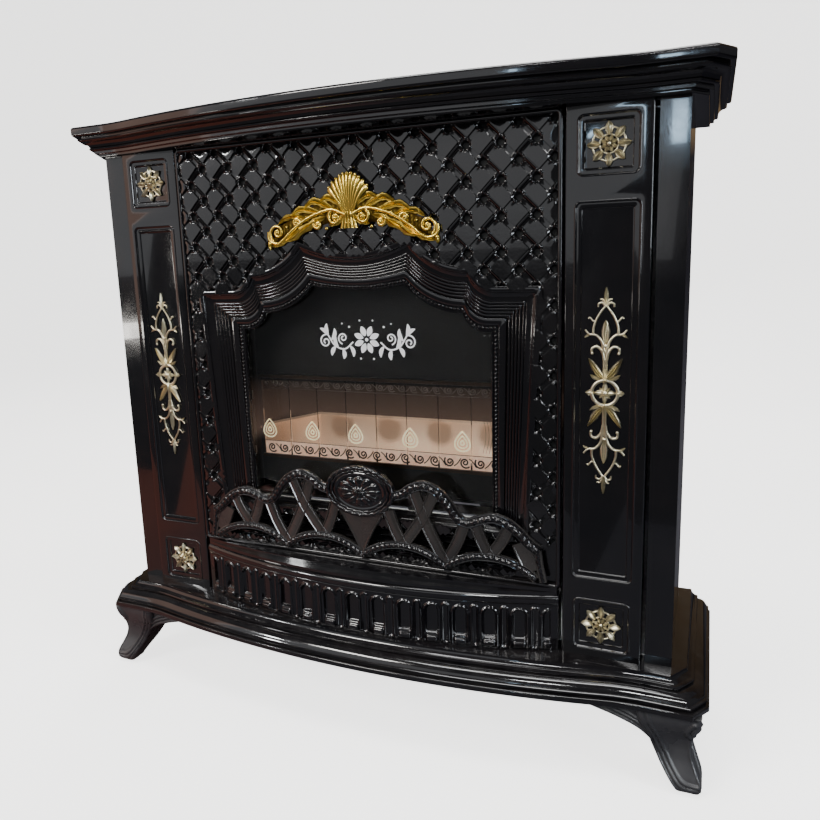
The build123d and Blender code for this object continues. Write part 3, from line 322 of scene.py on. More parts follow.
class NodeWork:
    """Short calls to place and join the nodes of one tree."""

    tree: bpy.types.NodeTree

    def node(self, kind: str, **settings: object) -> Node:
        """Places a node and sets its properties.

        Args:
            kind: the node's type name without its ShaderNode prefix.
            settings: properties to set on it.

        Returns:
            The node.
        """
        made = self.tree.nodes.new("ShaderNode" + kind)
        for key, value in settings.items():
            setattr(made, key, value)
        return made

    def set(self, node: Node, **values: object) -> Node:
        """Sets or joins a node's inputs by name, underscores standing for spaces.

        Args:
            node: the node.
            values: a number, a colour or an output socket for each input.

        Returns:
            The same node.
        """
        for key, value in values.items():
            self.put(node.inputs[key.replace("_", " ")], value)
        return node

    def put(self, socket: Socket, value: object) -> None:
        """Sets or joins one input socket."""
        if isinstance(value, Socket):
            self.tree.links.new(value, socket)
        elif isinstance(value, tuple) and len(value) == 3 and socket.type == "RGBA":
            socket.default_value = (*value, 1.0)
        else:
            socket.default_value = value

    def math(self, operation: str, *values: object) -> Socket:
        """One sum on values, each a number or a socket."""
        made = self.node("Math", operation=operation)
        for socket, value in zip(made.inputs, values):
            self.put(socket, value)
        return made.outputs[0]

    def spread(self, value: Socket, low: float, high: float, start: object = 0.0,
               stop: object = 1.0, kind: str = "LINEAR") -> Socket:
        """Maps a value from the range start to stop onto low to high, held at the ends."""
        made = self.node("MapRange", interpolation_type=kind)
        self.set(made, Value=value, From_Min=start, From_Max=stop, To_Min=low, To_Max=high)
        return made.outputs["Result"]


class Wiring(NodeWork):
    """One material's node tree."""

    def __init__(self, name: str) -> None:
        """Starts an empty material with a Principled shader."""
        self.material = bpy.data.materials.new(name)
        self.material.use_nodes = True
        self.tree = self.material.node_tree
        self.shader = self.tree.nodes["Principled BSDF"]
        self._place: Node | None = None
        self._split: Node | None = None

    def place(self) -> Socket:
        """Object coordinates of the piece."""
        if self._place is None:
            self._place = self.node("TexCoord")
        return self._place.outputs["Object"]

    def along(self, axis: str) -> Socket:
        """One of the piece's object coordinates, X, Y or Z."""
        if self._split is None:
            self._split = self.set(self.node("SeparateXYZ"), Vector=self.place())
        return self._split.outputs[axis]

    def effect(self, name: str, **values: object) -> Socket:
        """Output of a shared effect, joined to the piece's coordinates."""
        made = self.node("Group", node_tree=bpy.data.node_groups[name])
        if "Vector" in made.inputs:
            self.set(made, Vector=self.place())
        return self.set(made, **values).outputs[0]

    def mix(self, share: object, first: object, second: object) -> Socket:
        """Colour between two colours or sockets by a share from 0 to 1."""
        made = self.node("Mix", data_type="RGBA")
        for index, value in ((0, share), (6, first), (7, second)):
            self.put(made.inputs[index], value)
        return made.outputs[2]

    def skin(self, **values: object) -> None:
        """Sets or joins the shader's own inputs by name."""
        self.set(self.shader, **values)

    def bump(self, height: Socket, strength: float, distance: float) -> None:
        """Raises the surface by a height map, over a distance in millimetres."""
        made = self.set(self.node("Bump"), Height=height, Strength=strength, Distance=distance * METRE)
        self.skin(Normal=made.outputs["Normal"])

    def grain(self, scale: float, detail: float, strength: float, distance: float) -> None:
        """Raises the surface by fine noise, over a distance in millimetres."""
        noise = self.set(self.node("TexNoise"), Vector=self.place(), Scale=scale, Detail=detail)
        self.bump(noise.outputs["Fac"], strength, distance)


class EffectGroup(NodeWork):
    """A shader node group with named inputs and one output."""

    def __init__(self, name: str, inputs: dict[str, object], output: str) -> None:
        """Makes the group's tree and its sockets.

        Args:
            name: the group's name.
            inputs: for each input its first value: a number, three numbers, or None for coordinates.
            output: name of the output.
        """
        self.tree = bpy.data.node_groups.new(name, "ShaderNodeTree")
        for key, value in inputs.items():
            kind = "NodeSocketFloat" if isinstance(value, float) else "NodeSocketVector"
            socket = self.tree.interface.new_socket(key, in_out="INPUT", socket_type=kind)
            if value is not None:
                socket.default_value = value
        self.tree.interface.new_socket(output, in_out="OUTPUT", socket_type="NodeSocketFloat")
        self.entry = self.tree.nodes.new("NodeGroupInput")
        self.exit = self.tree.nodes.new("NodeGroupOutput")

    def value(self, key: str) -> Socket:
        """One of the group's own inputs."""
        return self.entry.outputs[key]

    def give(self, value: Socket) -> None:
        """Joins a value to the group's output."""
        self.put(self.exit.inputs[0], value)

    def noise(self, vector: Socket, detail: float,
              roughness: float = 0.55) -> Socket:
        """Fractal noise on a vector, at the group's scale."""
        made = self.node("TexNoise")
        self.set(made, Vector=vector, Scale=self.value("Scale"), Detail=detail, Roughness=roughness)
        return made.outputs["Fac"]

    def ramp(self, value: Socket, start: object, stop: object) -> Socket:
        """Value rising smoothly from 0 at start to 1 at stop."""
        return self.spread(value, 0.0, 1.0, start, stop, "SMOOTHSTEP")

    def crown(self) -> Socket:
        """How exposed the surface is, as its shell says."""
        return self.node("Attribute", attribute_name="crown", attribute_type="GEOMETRY").outputs["Fac"]


def build_effects() -> None:
    """Builds the shared effects: mottle, dust, fine scratches, zinc spangle, patina and pit shade."""
    mottle = EffectGroup("mottle", {"Vector": None, "Scale": 8.0}, "Value")
    mottle.give(mottle.ramp(mottle.noise(mottle.value("Vector"), 6.0), 0.3, 0.7))

    dust = EffectGroup("ledge_dust", {"Vector": None, "Scale": 30.0, "Amount": 0.5}, "Mask")
    facing = dust.set(dust.node("SeparateXYZ"), Vector=dust.node("NewGeometry").outputs["Normal"])
    cloud = dust.ramp(dust.noise(dust.value("Vector"), 8.0, 0.7), 0.35, 0.75)
    lying = dust.math("MULTIPLY", dust.ramp(facing.outputs["Z"], 0.35, 1.0), cloud)
    dust.give(dust.math("MULTIPLY", lying, dust.value("Amount")))

    scratch = EffectGroup("fine_scratches",
                          {"Vector": None, "Scale": 60.0, "Stretch": (1.0, 1.0, 12.0)}, "Value")
    stretched = scratch.node("VectorMath", operation="MULTIPLY")
    for socket, key in zip(stretched.inputs, ("Vector", "Stretch")):
        scratch.put(socket, scratch.value(key))
    scratch.give(scratch.noise(stretched.outputs[0], 4.0, 0.8))

    spangle = EffectGroup("zinc_spangle", {"Vector": None, "Scale": 90.0}, "Value")
    cells = spangle.node("TexVoronoi", feature="F1")
    spangle.set(cells, Vector=spangle.value("Vector"), Scale=spangle.value("Scale"))
    tone = spangle.set(spangle.node("SeparateColor"), Color=cells.outputs["Color"])
    spangle.give(tone.outputs[0])

    patina = EffectGroup("recess_patina", {"Vector": None, "Reach": 0.6, "Scale": 180.0}, "Mask")
    speck = patina.math("MULTIPLY",
                        patina.math("SUBTRACT", patina.noise(patina.value("Vector"), 5.0, 0.65), 0.5), 0.5)
    patina.give(patina.ramp(patina.math("ADD", patina.crown(), speck), 0.08, patina.value("Reach")))

    # pit_shade is painted shade: near 1 where the crown falls to -1 (vent pits, flute hollows), fading out by
    # -0.1.
    pit = EffectGroup("pit_shade", {"Floor": -1.0}, "Mask")
    pit.give(pit.math("SUBTRACT", 1.0, pit.ramp(pit.crown(), pit.value("Floor"), -0.1)))


@dataclass(frozen=True)
class Enamel:
    """Glossy vitreous enamel on cast metal: near-black and faintly rippled, with painted shade turning its
    vent pits and flute hollows dull black.
    """

    slot: Slot
    name: str = ""
    deep: Triple = (0.0022, 0.0022, 0.0032)
    thin: Triple = (0.0065, 0.0052, 0.0058)
    gloss: float = 0.07
    haze: float = 0.15
    ripple: float = 0.10
    dust: float = 0.14

    def build(self) -> Material:
        """Wires the enamel's material."""
        wires = Wiring(self.name or self.slot.value)
        mottle = wires.effect("mottle", Scale=7.0)
        dust = wires.effect("ledge_dust", Scale=38.0, Amount=self.dust)
        pit = wires.effect("pit_shade")
        glaze = wires.mix(dust, wires.mix(mottle, self.deep, self.thin), (0.09, 0.085, 0.08))
        # Painted shade: the pit mask turns the colour black, roughens it and takes the coat off.
        wires.skin(Base_Color=wires.mix(pit, glaze, (0.0006, 0.0006, 0.0006)))
        cloud = wires.effect("mottle", Scale=26.0)
        rough = wires.math("MULTIPLY_ADD", dust, 0.35, wires.spread(cloud, self.gloss, self.haze))
        rough = wires.math("MULTIPLY_ADD", pit, 0.6, rough)
        wires.skin(Roughness=rough, Coat_Weight=wires.spread(pit, 0.6, 0.0), Coat_Roughness=0.03)
        wires.skin(IOR=1.5)
        wires.grain(260.0, 2.0, self.ripple, 0.25)
        return wires.material


@dataclass(frozen=True)
class SatinPaint:
    """Satin paint over a casting, with a sandy grain, pale dust on its ledges and, where given, a painted
    warm glow in a band of height.
    """

    slot: Slot
    colour: Triple
    worn: Triple
    gloss: float = 0.38
    grain: float = 0.25
    scale: float = 420.0
    metallic: float = 0.0
    glow: Triple = (0.0, 0.0, 0.0)
    glow_low: float = 0.42
    glow_high: float = 0.505
    glow_back: float = 0.187

    def build(self) -> Material:
        """Wires the paint's material."""
        wires = Wiring(self.slot.value)
        mottle = wires.effect("mottle", Scale=18.0)
        dust = wires.effect("ledge_dust", Scale=55.0, Amount=0.5)
        coat = wires.mix(mottle, self.colour, self.worn)
        wires.skin(Base_Color=wires.mix(dust, coat, (0.28, 0.27, 0.26)), Metallic=self.metallic)
        wires.skin(Roughness=wires.spread(mottle, self.gloss, self.gloss + 0.16))
        # Painted light: a warm emission in a band of height, strongest at glow_low and fading by glow_high,
        # only in front of glow_back.
        if any(self.glow):
            rise = wires.spread(wires.along("Z"), 1.0, 0.0, self.glow_low, self.glow_high)
            foot = wires.spread(wires.along("Z"), 0.0, 1.0, self.glow_low - 0.02, self.glow_low)
            rise = wires.math("MULTIPLY", rise, foot)
            rise = wires.math("MULTIPLY", rise, wires.math("LESS_THAN", wires.along("Y"), self.glow_back))
            wires.skin(Emission_Color=wires.mix(rise, (0.0, 0.0, 0.0), self.glow))
            wires.skin(Emission_Strength=1.0)
        wires.grain(self.scale, 4.0, self.grain, 0.3)
        return wires.material


@dataclass(frozen=True)
class ReliefMetal:
    """Cast ornament metal, bright on its ridges and dark with patina in its recesses."""

    slot: Slot
    bright: Triple
    dark: Triple
    gloss: float = 0.22
    dull: float = 0.6
    reach: float = 0.6

    def build(self) -> Material:
        """Wires the ornament metal's material."""
        wires = Wiring(self.slot.value)
        mask = wires.effect("recess_patina", Reach=self.reach)
        wires.skin(Base_Color=wires.mix(mask, self.dark, self.bright), Metallic=1.0)
        wires.skin(Roughness=wires.spread(mask, self.dull, self.gloss))
        wires.grain(700.0, 3.0, 0.35, 0.25)
        return wires.material


@dataclass(frozen=True)
class SheetMetal:
    """Rolled, plated or drawn metal with a grain and a varying sheen.

    A sheet with a glow carries painted warm light, which fades to the left, weakens above a set height,
    starts above a low edge and is dimmed in a row of painted round shadows.
    """

    slot: Slot
    light: Triple
    shade: Triple
    gloss: float = 0.3
    dull: float = 0.5
    spangled: bool = False
    stretch: Triple = (1.0, 1.0, 14.0)
    glow: float = 0.0
    glow_from: float = -0.25
    glow_full: float = -0.02
    glow_low: float = 0.334
    round_pitch: float = 0.091
    round_shift: float = 0.874
    round_height: float = 0.400
    round_radius: float = 0.024

    def build(self) -> Material:
        """Wires the sheet's material."""
        wires = Wiring(self.slot.value)
        if self.spangled:
            tone = wires.effect("zinc_spangle", Scale=70.0)
        else:
            tone = wires.effect("fine_scratches", Scale=45.0, Stretch=self.stretch)
        stain = wires.effect("mottle", Scale=9.0)
        base = wires.mix(tone, self.shade, self.light)
        wires.skin(Base_Color=wires.mix(wires.spread(stain, 0.0, 0.35), base, self.shade), Metallic=1.0)
        wires.skin(Roughness=wires.spread(tone, self.dull, self.gloss))
        # Painted light: emission stands in for warm light falling on the sheet.
        if self.glow > 0.0:
            across = wires.spread(wires.along("X"), 0.0, 1.0, self.glow_from, self.glow_full)
            rounds_along = wires.math("MULTIPLY_ADD", wires.along("X"), 1.0 / self.round_pitch,
                                      3.0 + self.round_shift)
            turn = wires.math("FRACT", rounds_along)
            beside = wires.math("MULTIPLY", wires.math("SUBTRACT", turn, 0.5), self.round_pitch)
            away = wires.node("CombineXYZ")
            wires.set(away, X=beside, Z=wires.math("SUBTRACT", wires.along("Z"), self.round_height))
            reach = wires.node("VectorMath", operation="LENGTH")
            wires.tree.links.new(away.outputs[0], reach.inputs[0])
            # Painted round shadows: the glow falls to 0.3 inside each round.
            inner, outer = 0.7 * self.round_radius, 1.15 * self.round_radius
            rounds = wires.spread(reach.outputs["Value"], 0.30, 1.0, inner, outer)
            warmth = wires.math("MULTIPLY", wires.math("MULTIPLY", across, rounds),
                                wires.spread(wires.along("Z"), 1.0, 0.42, self.round_height - 0.03,
                                             self.round_height + 0.015))
            foot = wires.spread(wires.along("Z"), 0.0, 1.0, self.glow_low, self.glow_low + 0.011)
            warmth = wires.math("MULTIPLY", warmth, foot)
            dim = tuple(0.12 * value for value in self.shade)
            wires.skin(Emission_Color=wires.mix(warmth, dim, wires.mix(stain, self.light, self.shade)))
            wires.skin(Emission_Strength=self.glow)
        wires.bump(tone, 0.12, 0.1)
        return wires.material


@dataclass(frozen=True)
class Moulded:
    """Moulded plastic or ceramic with a fine texture."""

    slot: Slot
    colour: Triple
    pale: Triple
    gloss: float = 0.35
    texture: float = 0.2

    def build(self) -> Material:
        """Wires the moulding's material."""
        wires = Wiring(self.slot.value)
        mottle = wires.effect("mottle", Scale=60.0)
        wires.skin(Base_Color=wires.mix(mottle, self.colour, self.pale))
        wires.skin(Roughness=wires.spread(mottle, self.gloss, self.gloss + 0.12))
        wires.grain(900.0, 2.0, self.texture, 0.15)
        return wires.material


@dataclass(frozen=True)
class Glass:
    """Clear heat glass with a faint smear that shows in its gloss."""

    slot: Slot
    tint: Triple
    gloss: float = 0.01
    smear: float = 0.05

    def build(self) -> Material:
        """Wires the glass's material."""
        wires = Wiring(self.slot.value)
        wipe = wires.effect("fine_scratches", Scale=6.0, Stretch=(1.0, 1.0, 3.0))
        wires.skin(Base_Color=self.tint)
        wires.skin(Transmission_Weight=1.0)
        wires.skin(IOR=1.47)
        wires.skin(Roughness=wires.spread(wipe, self.gloss, self.smear, 0.35, 0.75))
        return wires.material


@dataclass(frozen=True)
class WovenSeal:
    """Braided glass-fibre rope."""

    slot: Slot

    def build(self) -> Material:
        """Wires the seal's material."""
        wires = Wiring(self.slot.value)
        braid = wires.node("TexWave", wave_type="BANDS", bands_direction="DIAGONAL")
        wires.set(braid, Vector=wires.place(), Scale=160.0, Distortion=2.0, Detail=1.0)
        wires.skin(Base_Color=wires.mix(braid.outputs["Fac"], (0.42, 0.40, 0.36), (0.78, 0.76, 0.70)))
        wires.skin(Roughness=0.9)
        wires.bump(braid.outputs["Fac"], 0.6, 0.8)
        return wires.material


@dataclass(frozen=True)
class Ink:
    """Flat printing ink, a little uneven; where it has a glow, the print also shines as painted light."""

    name: str
    thin: Triple
    full: Triple
    glow: float = 0.0

    def build(self) -> Material:
        """Wires the ink's material."""
        wires = Wiring(self.name)
        mottle = wires.effect("mottle", Scale=120.0)
        tone = wires.mix(mottle, self.thin, self.full)
        wires.skin(Base_Color=tone, Roughness=wires.spread(mottle, 0.45, 0.6))
        # Painted light: the ink emits its own colour, as if lit.
        if self.glow > 0.0:
            wires.skin(Emission_Color=tone)
            wires.skin(Emission_Strength=self.glow)
        return wires.material


FINISHES = [
    Enamel(Slot.ENAMEL),
    Enamel(Slot.ENAMEL, "woven_enamel", (0.0025, 0.0025, 0.003), (0.007, 0.006, 0.0065), 0.10, 0.22, 0.35),
    Enamel(Slot.ENAMEL, "fender_enamel", (0.018, 0.016, 0.015), (0.038, 0.034, 0.031), 0.15, 0.30, 0.2),
    # The white, cream and peach inks glow: painted light over the print.
    Ink("white_ink_painted_glow", (0.80, 0.81, 0.82), (0.92, 0.92, 0.92), 0.25),
    Ink("brown_ink", (0.020, 0.009, 0.005), (0.045, 0.02, 0.010)),
    Ink("cream_ink_painted_glow", (0.95, 0.76, 0.42), (1.0, 0.86, 0.56), 0.95),
    Ink("peach_ink_painted_glow", (0.76, 0.46, 0.32), (0.90, 0.60, 0.44), 0.5),
    Ink("umber_ink", (0.11, 0.085, 0.07), (0.17, 0.13, 0.11)),
    SatinPaint(Slot.FOOT, (0.030, 0.030, 0.034), (0.055, 0.054, 0.056), 0.22, 0.12),
    ReliefMetal(Slot.ANTIQUE, (0.82, 0.74, 0.52), (0.014, 0.011, 0.008), 0.30, 0.6, 0.62),
    ReliefMetal(Slot.GILT, (0.92, 0.66, 0.13), (0.040, 0.022, 0.004), 0.26, 0.55, 0.85),
    Glass(Slot.GLASS, (0.90, 0.92, 0.91)),
    Glass(Slot.STRIP, (0.97, 0.93, 0.86)),
    WovenSeal(Slot.ROPE_SEAL),
    SheetMetal(Slot.SPRING, (0.62, 0.62, 0.63), (0.38, 0.38, 0.39)),
    SheetMetal(Slot.RAIL, (0.13, 0.085, 0.06), (0.06, 0.04, 0.028)),
    # Black steel carries a painted warm glow low in the window.
    SatinPaint(Slot.BLACK_STEEL, (0.006, 0.005, 0.004), (0.013, 0.010, 0.008), 0.5,
               glow=(0.075, 0.045, 0.034)),
    SheetMetal(Slot.ZINC, (0.66, 0.67, 0.68), (0.44, 0.45, 0.47), 0.3, 0.45, True),
    # Copper sheet with a painted warm glow.
    SheetMetal(Slot.COPPER, (0.97, 0.74, 0.57), (0.82, 0.55, 0.39), 0.25, 0.42, False, (14.0, 1.0, 1.0), 1.0),
    SheetMetal(Slot.BURNER, (0.50, 0.47, 0.44), (0.24, 0.20, 0.20)),
    SheetMetal(Slot.BRASS, (0.80, 0.63, 0.30), (0.50, 0.36, 0.14), 0.2, 0.4),
    Moulded(Slot.CERAMIC, (0.84, 0.83, 0.79), (0.92, 0.91, 0.88), 0.2, 0.1),
    SatinPaint(Slot.CAST, (0.55, 0.56, 0.57), (0.66, 0.67, 0.68), 0.4, 0.5, 300.0, 1.0),
    SheetMetal(Slot.PIPE, (0.74, 0.75, 0.76), (0.55, 0.56, 0.58), 0.25, 0.4),
    Moulded(Slot.KNOB, (0.018, 0.018, 0.019), (0.032, 0.032, 0.033), 0.38),
    Moulded(Slot.BUTTON, (0.36, 0.018, 0.016), (0.46, 0.03, 0.025), 0.22),
    SheetMetal(Slot.PLATE, (0.62, 0.62, 0.63), (0.40, 0.40, 0.41), 0.24, 0.4, False, (1.0, 12.0, 1.0)),
]


def build_palette() -> None:
    """Builds every finish once, under its slot's name."""
    build_effects()
    for finish in FINISHES:
        PALETTE[getattr(finish, "name", "") or finish.slot.value] = finish.build()


def tube(shell: Shell, line: Array, radius: Array | float, sides: int = 8, closed: bool = False,
         twist: float = 0.0, strands: int = 0, flat: float = 1.0, crown: float = 1.0) -> None:
    """Adds a round bar along a line, or a rope where it has strands.

    A rope's radius is radius * (1 + 0.16 cos(strands * angle - 2 pi run / twist)).

    Args:
        shell: the shell it joins.
        line: (n, 3) middle line.
        radius: one value or one for each point.
        sides: facets round the bar.
        closed: True for a ring.
        twist: length over which the rope's strands repeat.
        strands: number of strands, or 0 for a plain bar.
        flat: depth over width of the section.
        crown: exposure of the surface, see Shell.add.
    """
    if closed:
        ahead = np.roll(line, -1, 0) - np.roll(line, 1, 0)
    else:
        ahead = np.gradient(line, axis=0)
    ahead = ahead / np.linalg.norm(ahead, axis=1, keepdims=True)
    depth = np.broadcast_to(np.array([0.0, -1.0, 0.0]), ahead.shape)
    side = np.cross(ahead, depth)
    side = side / np.maximum(np.linalg.norm(side, axis=1, keepdims=True), 1e-6)
    front = np.cross(side, ahead)
    turn = whole_turn(sides)
    run = np.concatenate([[0.0], np.cumsum(np.linalg.norm(np.diff(line, axis=0), axis=1))])
    size = np.broadcast_to(np.asarray(radius, float), (len(line),))[:, None]
    shade = np.full((len(line), sides), crown)
    if strands:
        if closed:
            whole = run[-1] + float(np.linalg.norm(line[0] - line[-1]))
            twist = whole / max(1, round(whole / twist))
        lay = np.cos(strands * (turn[None, :] - 2 * math.pi * run[:, None] / (twist * strands)))
        size = size * (1.0 + 0.16 * lay)
        shade = crown * (0.35 + 0.65 * np.clip(0.5 + lay, 0.0, 1.0))
    round_by = np.cos(turn)[None, :, None] * side[:, None, :]
    round_by = round_by + flat * np.sin(turn)[None, :, None] * front[:, None, :]
    shell.grid(line[:, None, :] + size[..., None] * round_by, wrap=True, ring=closed,
               caps=not closed, crown=shade)


def beads(shell: Shell, centres: Array, radius: Sequence[float], around: int = 8, rings: int = 5) -> None:
    """Adds low domes, one at each centre, standing forwards (towards minus Y).

    Args:
        shell: the shell they join.
        centres: (k, 3) middles of their bases.
        radius: half sizes in X, Y and Z.
        around: facets round a dome.
        rings: rings from base to top.
    """
    turn = whole_turn(around)[None, :]
    rise = np.linspace(-0.35, math.pi / 2 * 0.94, rings)[:, None]
    unit = np.stack([np.cos(rise) * np.cos(turn), -np.sin(rise) + 0 * turn, np.cos(rise) * np.sin(turn)], -1)
    shade = np.broadcast_to(0.2 + 0.8 * np.clip(np.sin(rise), 0, 1), (rings, around))
    for centre in centres:
        shell.grid(centre + unit * np.asarray(radius), wrap=True, caps=True, crown=shade)


def leaf(shell: Shell, root: Points, width: float, rise: float, depth: float, back: float,
         ribs: int = 2, along: int = 14, across: int = 9, lobes: int = 0) -> None:
    """Adds a cast leaf with a sunk midrib and side ribs, along a curved middle line in X and Z.

    Its half width is width * sin(pi t)^0.7 with lobes, and its face stands forward by
    rise * (1 - a^2) * (0.6 + 0.4 cos(2 pi ribs a)) over the leaf, a being the share across.

    Args:
        shell: the shell it joins.
        root: points of the middle line from root to tip.
        width: greatest half width.
        rise: how far the leaf stands forward.
        depth: depth of its root plane.
        back: depth of the flat back.
        ribs: side ribs on each half.
        along: samples along.
        across: samples across.
        lobes: notches of the edge on each side.
    """
    line = smooth_line(np.asarray(root, float), along)
    side = side_vectors(line)
    t = shares(along)[:, None]
    a = shares(across, -1.0)[None, :]
    half = width * np.maximum(np.sin(math.pi * (0.04 + 0.94 * t)), 0.0) ** 0.7
    if lobes:
        half = half * (1.0 - 0.28 * np.abs(np.cos(math.pi * lobes * t)))
    ripple = 0.6 + 0.4 * np.cos(2 * math.pi * ribs * a)
    lift = rise * (1.0 - a**2) * ripple * np.sin(math.pi * (0.1 + 0.8 * t)) ** 0.5
    place = line[:, None, :] + side[:, None, :] * (half * a)[..., None]
    front = np.stack([place[..., 0], depth - lift, place[..., 1]], -1)
    crown = np.clip(0.15 + 0.85 * (lift / rise) * 1.3, 0.0, 1.0)
    shell.slab(front, back, crown)


def scroll_line(centre: Pair, radius: float, turns: float, start: float, way: int = 1,
                inner: float = 0.18, count: int = 40) -> Array:
    """Spiral in X and Z that winds in from its radius to a share of it.

    Args:
        centre: middle of the spiral.
        radius: outer radius.
        turns: number of turns.
        start: starting angle in degrees.
        way: 1 for anticlockwise, -1 for clockwise.
        inner: share of the radius where it ends.
        count: number of samples.

    Returns:
        (count, 2) points.
    """
    t = shares(count)
    reach = radius * (inner ** t)
    angle = math.radians(start) + way * 2 * math.pi * turns * t
    return np.stack([centre[0] + reach * np.cos(angle), centre[1] + reach * np.sin(angle)], 1)


def at_depth(line: Array, depth: Array | float, rise: float = 0.0) -> Array:
    """Turns X and Z points into points at a depth, raised where asked."""
    deep = np.broadcast_to(np.asarray(depth, float), (len(line),))
    return np.stack([line[:, 0], deep, line[:, 1] + rise], 1)


def step_up(value: Array, low: float, high: float) -> Array:
    """Smooth rise from 0 at low to 1 at high."""
    share = np.clip((value - low) / (high - low), 0.0, 1.0)
    return share * share * (3.0 - 2.0 * share)


def rounded_frame(half: float, low: float, high: float, radius: float, steps: int) -> Array:
    """Rounded rectangle, as wide on both sides of the middle, with the given steps to a corner."""
    turn = quarter_turn(steps)
    cos, sin = radius * np.cos(turn), radius * np.sin(turn)
    wide = half - radius
    xs = np.concatenate([wide + cos, -wide - sin, -wide - cos, wide + sin])
    zs = np.concatenate([high - radius + sin, high - radius + cos, low + radius - sin, low + radius - cos])
    return np.stack([xs, zs], 1)


def is_inside(x: Array, z: Array, outline: Array) -> Array:
    """Tells which points lie inside a closed outline, by counting the sides crossed to their right.

    Args:
        x: points' X.
        z: points' Z.
        outline: (n, 2) corners.

    Returns:
        True for points inside.
    """
    inside = np.zeros(x.shape, bool)
    for (x0, z0), (x1, z1) in zip(outline, np.roll(outline, -1, 0)):
        if z0 == z1:
            continue
        crosses = (z0 > z) != (z1 > z)
        inside ^= crosses & (x < (x1 - x0) * (z - z0) / (z1 - z0) + x0)
    return inside


@dataclass(frozen=True)
class BowedPlan:
    """Plan shared by the mantel and the plinth: a bowed front with eased ends and cut corners."""

    face_out: float
    side_extra: float
    bow: float = 40.0
    radius: float = 1840.0
    ease: float = 280.0
    cut_x: float = 19.0
    cut_y: float = 29.0
    flange: float = 13.0
    inner_out: float = -40.0

    def outline(self, out: Array, arc_steps: int = 44, ease_steps: int = 8) -> Array:
        """Plan points for each of several layers.

        The front is an arc of the given radius joined to the straight ends by arcs of the ease radius.

        Args:
            out: (n,) how far each layer stands from the face.
            arc_steps: samples over half the bow.
            ease_steps: samples over an ease.

        Returns:
            (n, m, 2) points in X and Y from the rear left corner round the front to the rear right.
        """
        out = out[:, None]
        front = -(self.face_out + out)
        side = HALF_BODY + self.face_out + out + self.side_extra
        reach = self.radius + self.ease
        ease_x = math.sqrt(self.bow * (2 * reach - self.bow))
        angle = math.asin(ease_x / reach)
        swing = np.linspace(0.0, angle, arc_steps)[None, :]
        bow_x = self.radius * np.sin(swing) + 0 * out
        bow_y = front - self.bow + self.radius * (1 - np.cos(swing))
        turn = np.linspace(angle, 0.0, ease_steps)[None, 1:]
        ease_xs = ease_x - self.ease * np.sin(turn) + 0 * out
        ease_ys = front - self.ease * (1 - np.cos(turn))
        corner_x = np.concatenate([side - self.cut_x, side, side], 1)
        rear = REAR - self.flange * (out < self.inner_out)
        corner_y = np.concatenate([front, front + self.cut_y, rear], 1)
        half_x = np.concatenate([bow_x, ease_xs, corner_x], 1)
        half_y = np.concatenate([bow_y, ease_ys, corner_y], 1)
        xs = np.concatenate([-half_x[:, :0:-1], half_x], 1)
        ys = np.concatenate([half_y[:, :0:-1], half_y], 1)
        return np.stack([xs, ys], -1)


@dataclass
class Moulding:
    """A band of mouldings round the bowed plan, closed above, below and behind."""

    name: str
    node: str
    plan: BowedPlan
    base: float
    profile: Points
    slot: Slot = Slot.ENAMEL

    def build(self) -> None:
        """Sweeps the profile, (height, stand-out) pairs, round the plan."""
        profile = np.asarray(self.profile, float)
        plan = self.plan.outline(profile[:, 1])
        rise = np.broadcast_to((self.base + profile[:, 0])[:, None, None], plan.shape[:2] + (1,))
        shell = Shell()
        shell.grid(np.concatenate([plan, rise], -1)[:, ::-1], wrap=True, caps=True)
        shell.piece(self.name, self.slot, nodes=[self.node], angle=28)


def bead_arc(low: float, high: float, out: float, bulge: float, steps: int = 7) -> list[Pair]:
    """Half-round bead between two heights, standing out by the bulge."""
    turn = np.linspace(0.0, math.pi, steps)
    rise = (low + high) / 2 - (high - low) / 2 * np.cos(turn)
    return [(float(z), float(o)) for z, o in zip(rise, out + bulge * np.sin(turn))]


def cove_arc(start: Pair, end: Pair, sag: float, steps: int = 9) -> list[Pair]:
    """Curve between two profile points, hollow for a positive sag and full for a negative one."""
    share = shares(steps)
    first, last = np.asarray(start), np.asarray(end)
    chord = last - first
    normal = np.array([chord[1], -chord[0]]) / np.linalg.norm(chord)
    line = first + share[:, None] * chord + sag * np.sin(math.pi * share)[:, None] * normal
    return [(float(a), float(b)) for a, b in line]


MANTEL_PROFILE = [
    (0.0, -29.0), (0.2, -27.4), (1.0, -27.0), (4.0, -27.0), (4.6, -26.4), (4.7, -22.6), (5.2, -22.0),
    (8.4, -22.0), (9.0, -21.6), *bead_arc(9.4, 13.6, -19.0, 2.2), (14.0, -18.6),
    *cove_arc((14.2, -17.2), (22.6, -8.0), 2.2), *bead_arc(23.0, 26.6, -7.6, 1.9), (27.0, -10.0),
    (29.2, -10.0), *cove_arc((29.4, -4.0), (33.5, 0.0), -1.4, 6), (40.0, 0.0),
    *cove_arc((40.2, 0.0), (43.9, -4.5), -1.3, 6), (44.0, -6.0)]
PLINTH_PROFILE = [
    (36.0, -44.0), (0.0, -44.0), (0.0, -3.0), *cove_arc((0.1, -2.0), (2.0, 0.0), -0.5, 5), (6.6, 0.0),
    *cove_arc((6.7, 0.0), (8.6, -2.0), -0.5, 5), (9.2, -5.5), (10.6, -5.5), *bead_arc(11.0, 15.6, -5.2, 2.7),
    (16.2, -5.6), *cove_arc((16.4, -5.6), (26.0, -19.0), -2.6), (26.6, -21.0),
    *bead_arc(27.0, 31.0, -20.8, 1.9), (31.4, -23.2), *cove_arc((31.6, -23.4), (39.8, -29.0), 1.2),
    (40.0, -31.0)]
MANTEL = Moulding("mantel_moulding", "mantel_top", BowedPlan(33.0, 12.0), BODY_TOP, MANTEL_PROFILE)
PLINTH = Moulding("plinth_moulding", "base_plinth", BowedPlan(43.5, 4.0), FOOT_TOP, PLINTH_PROFILE)


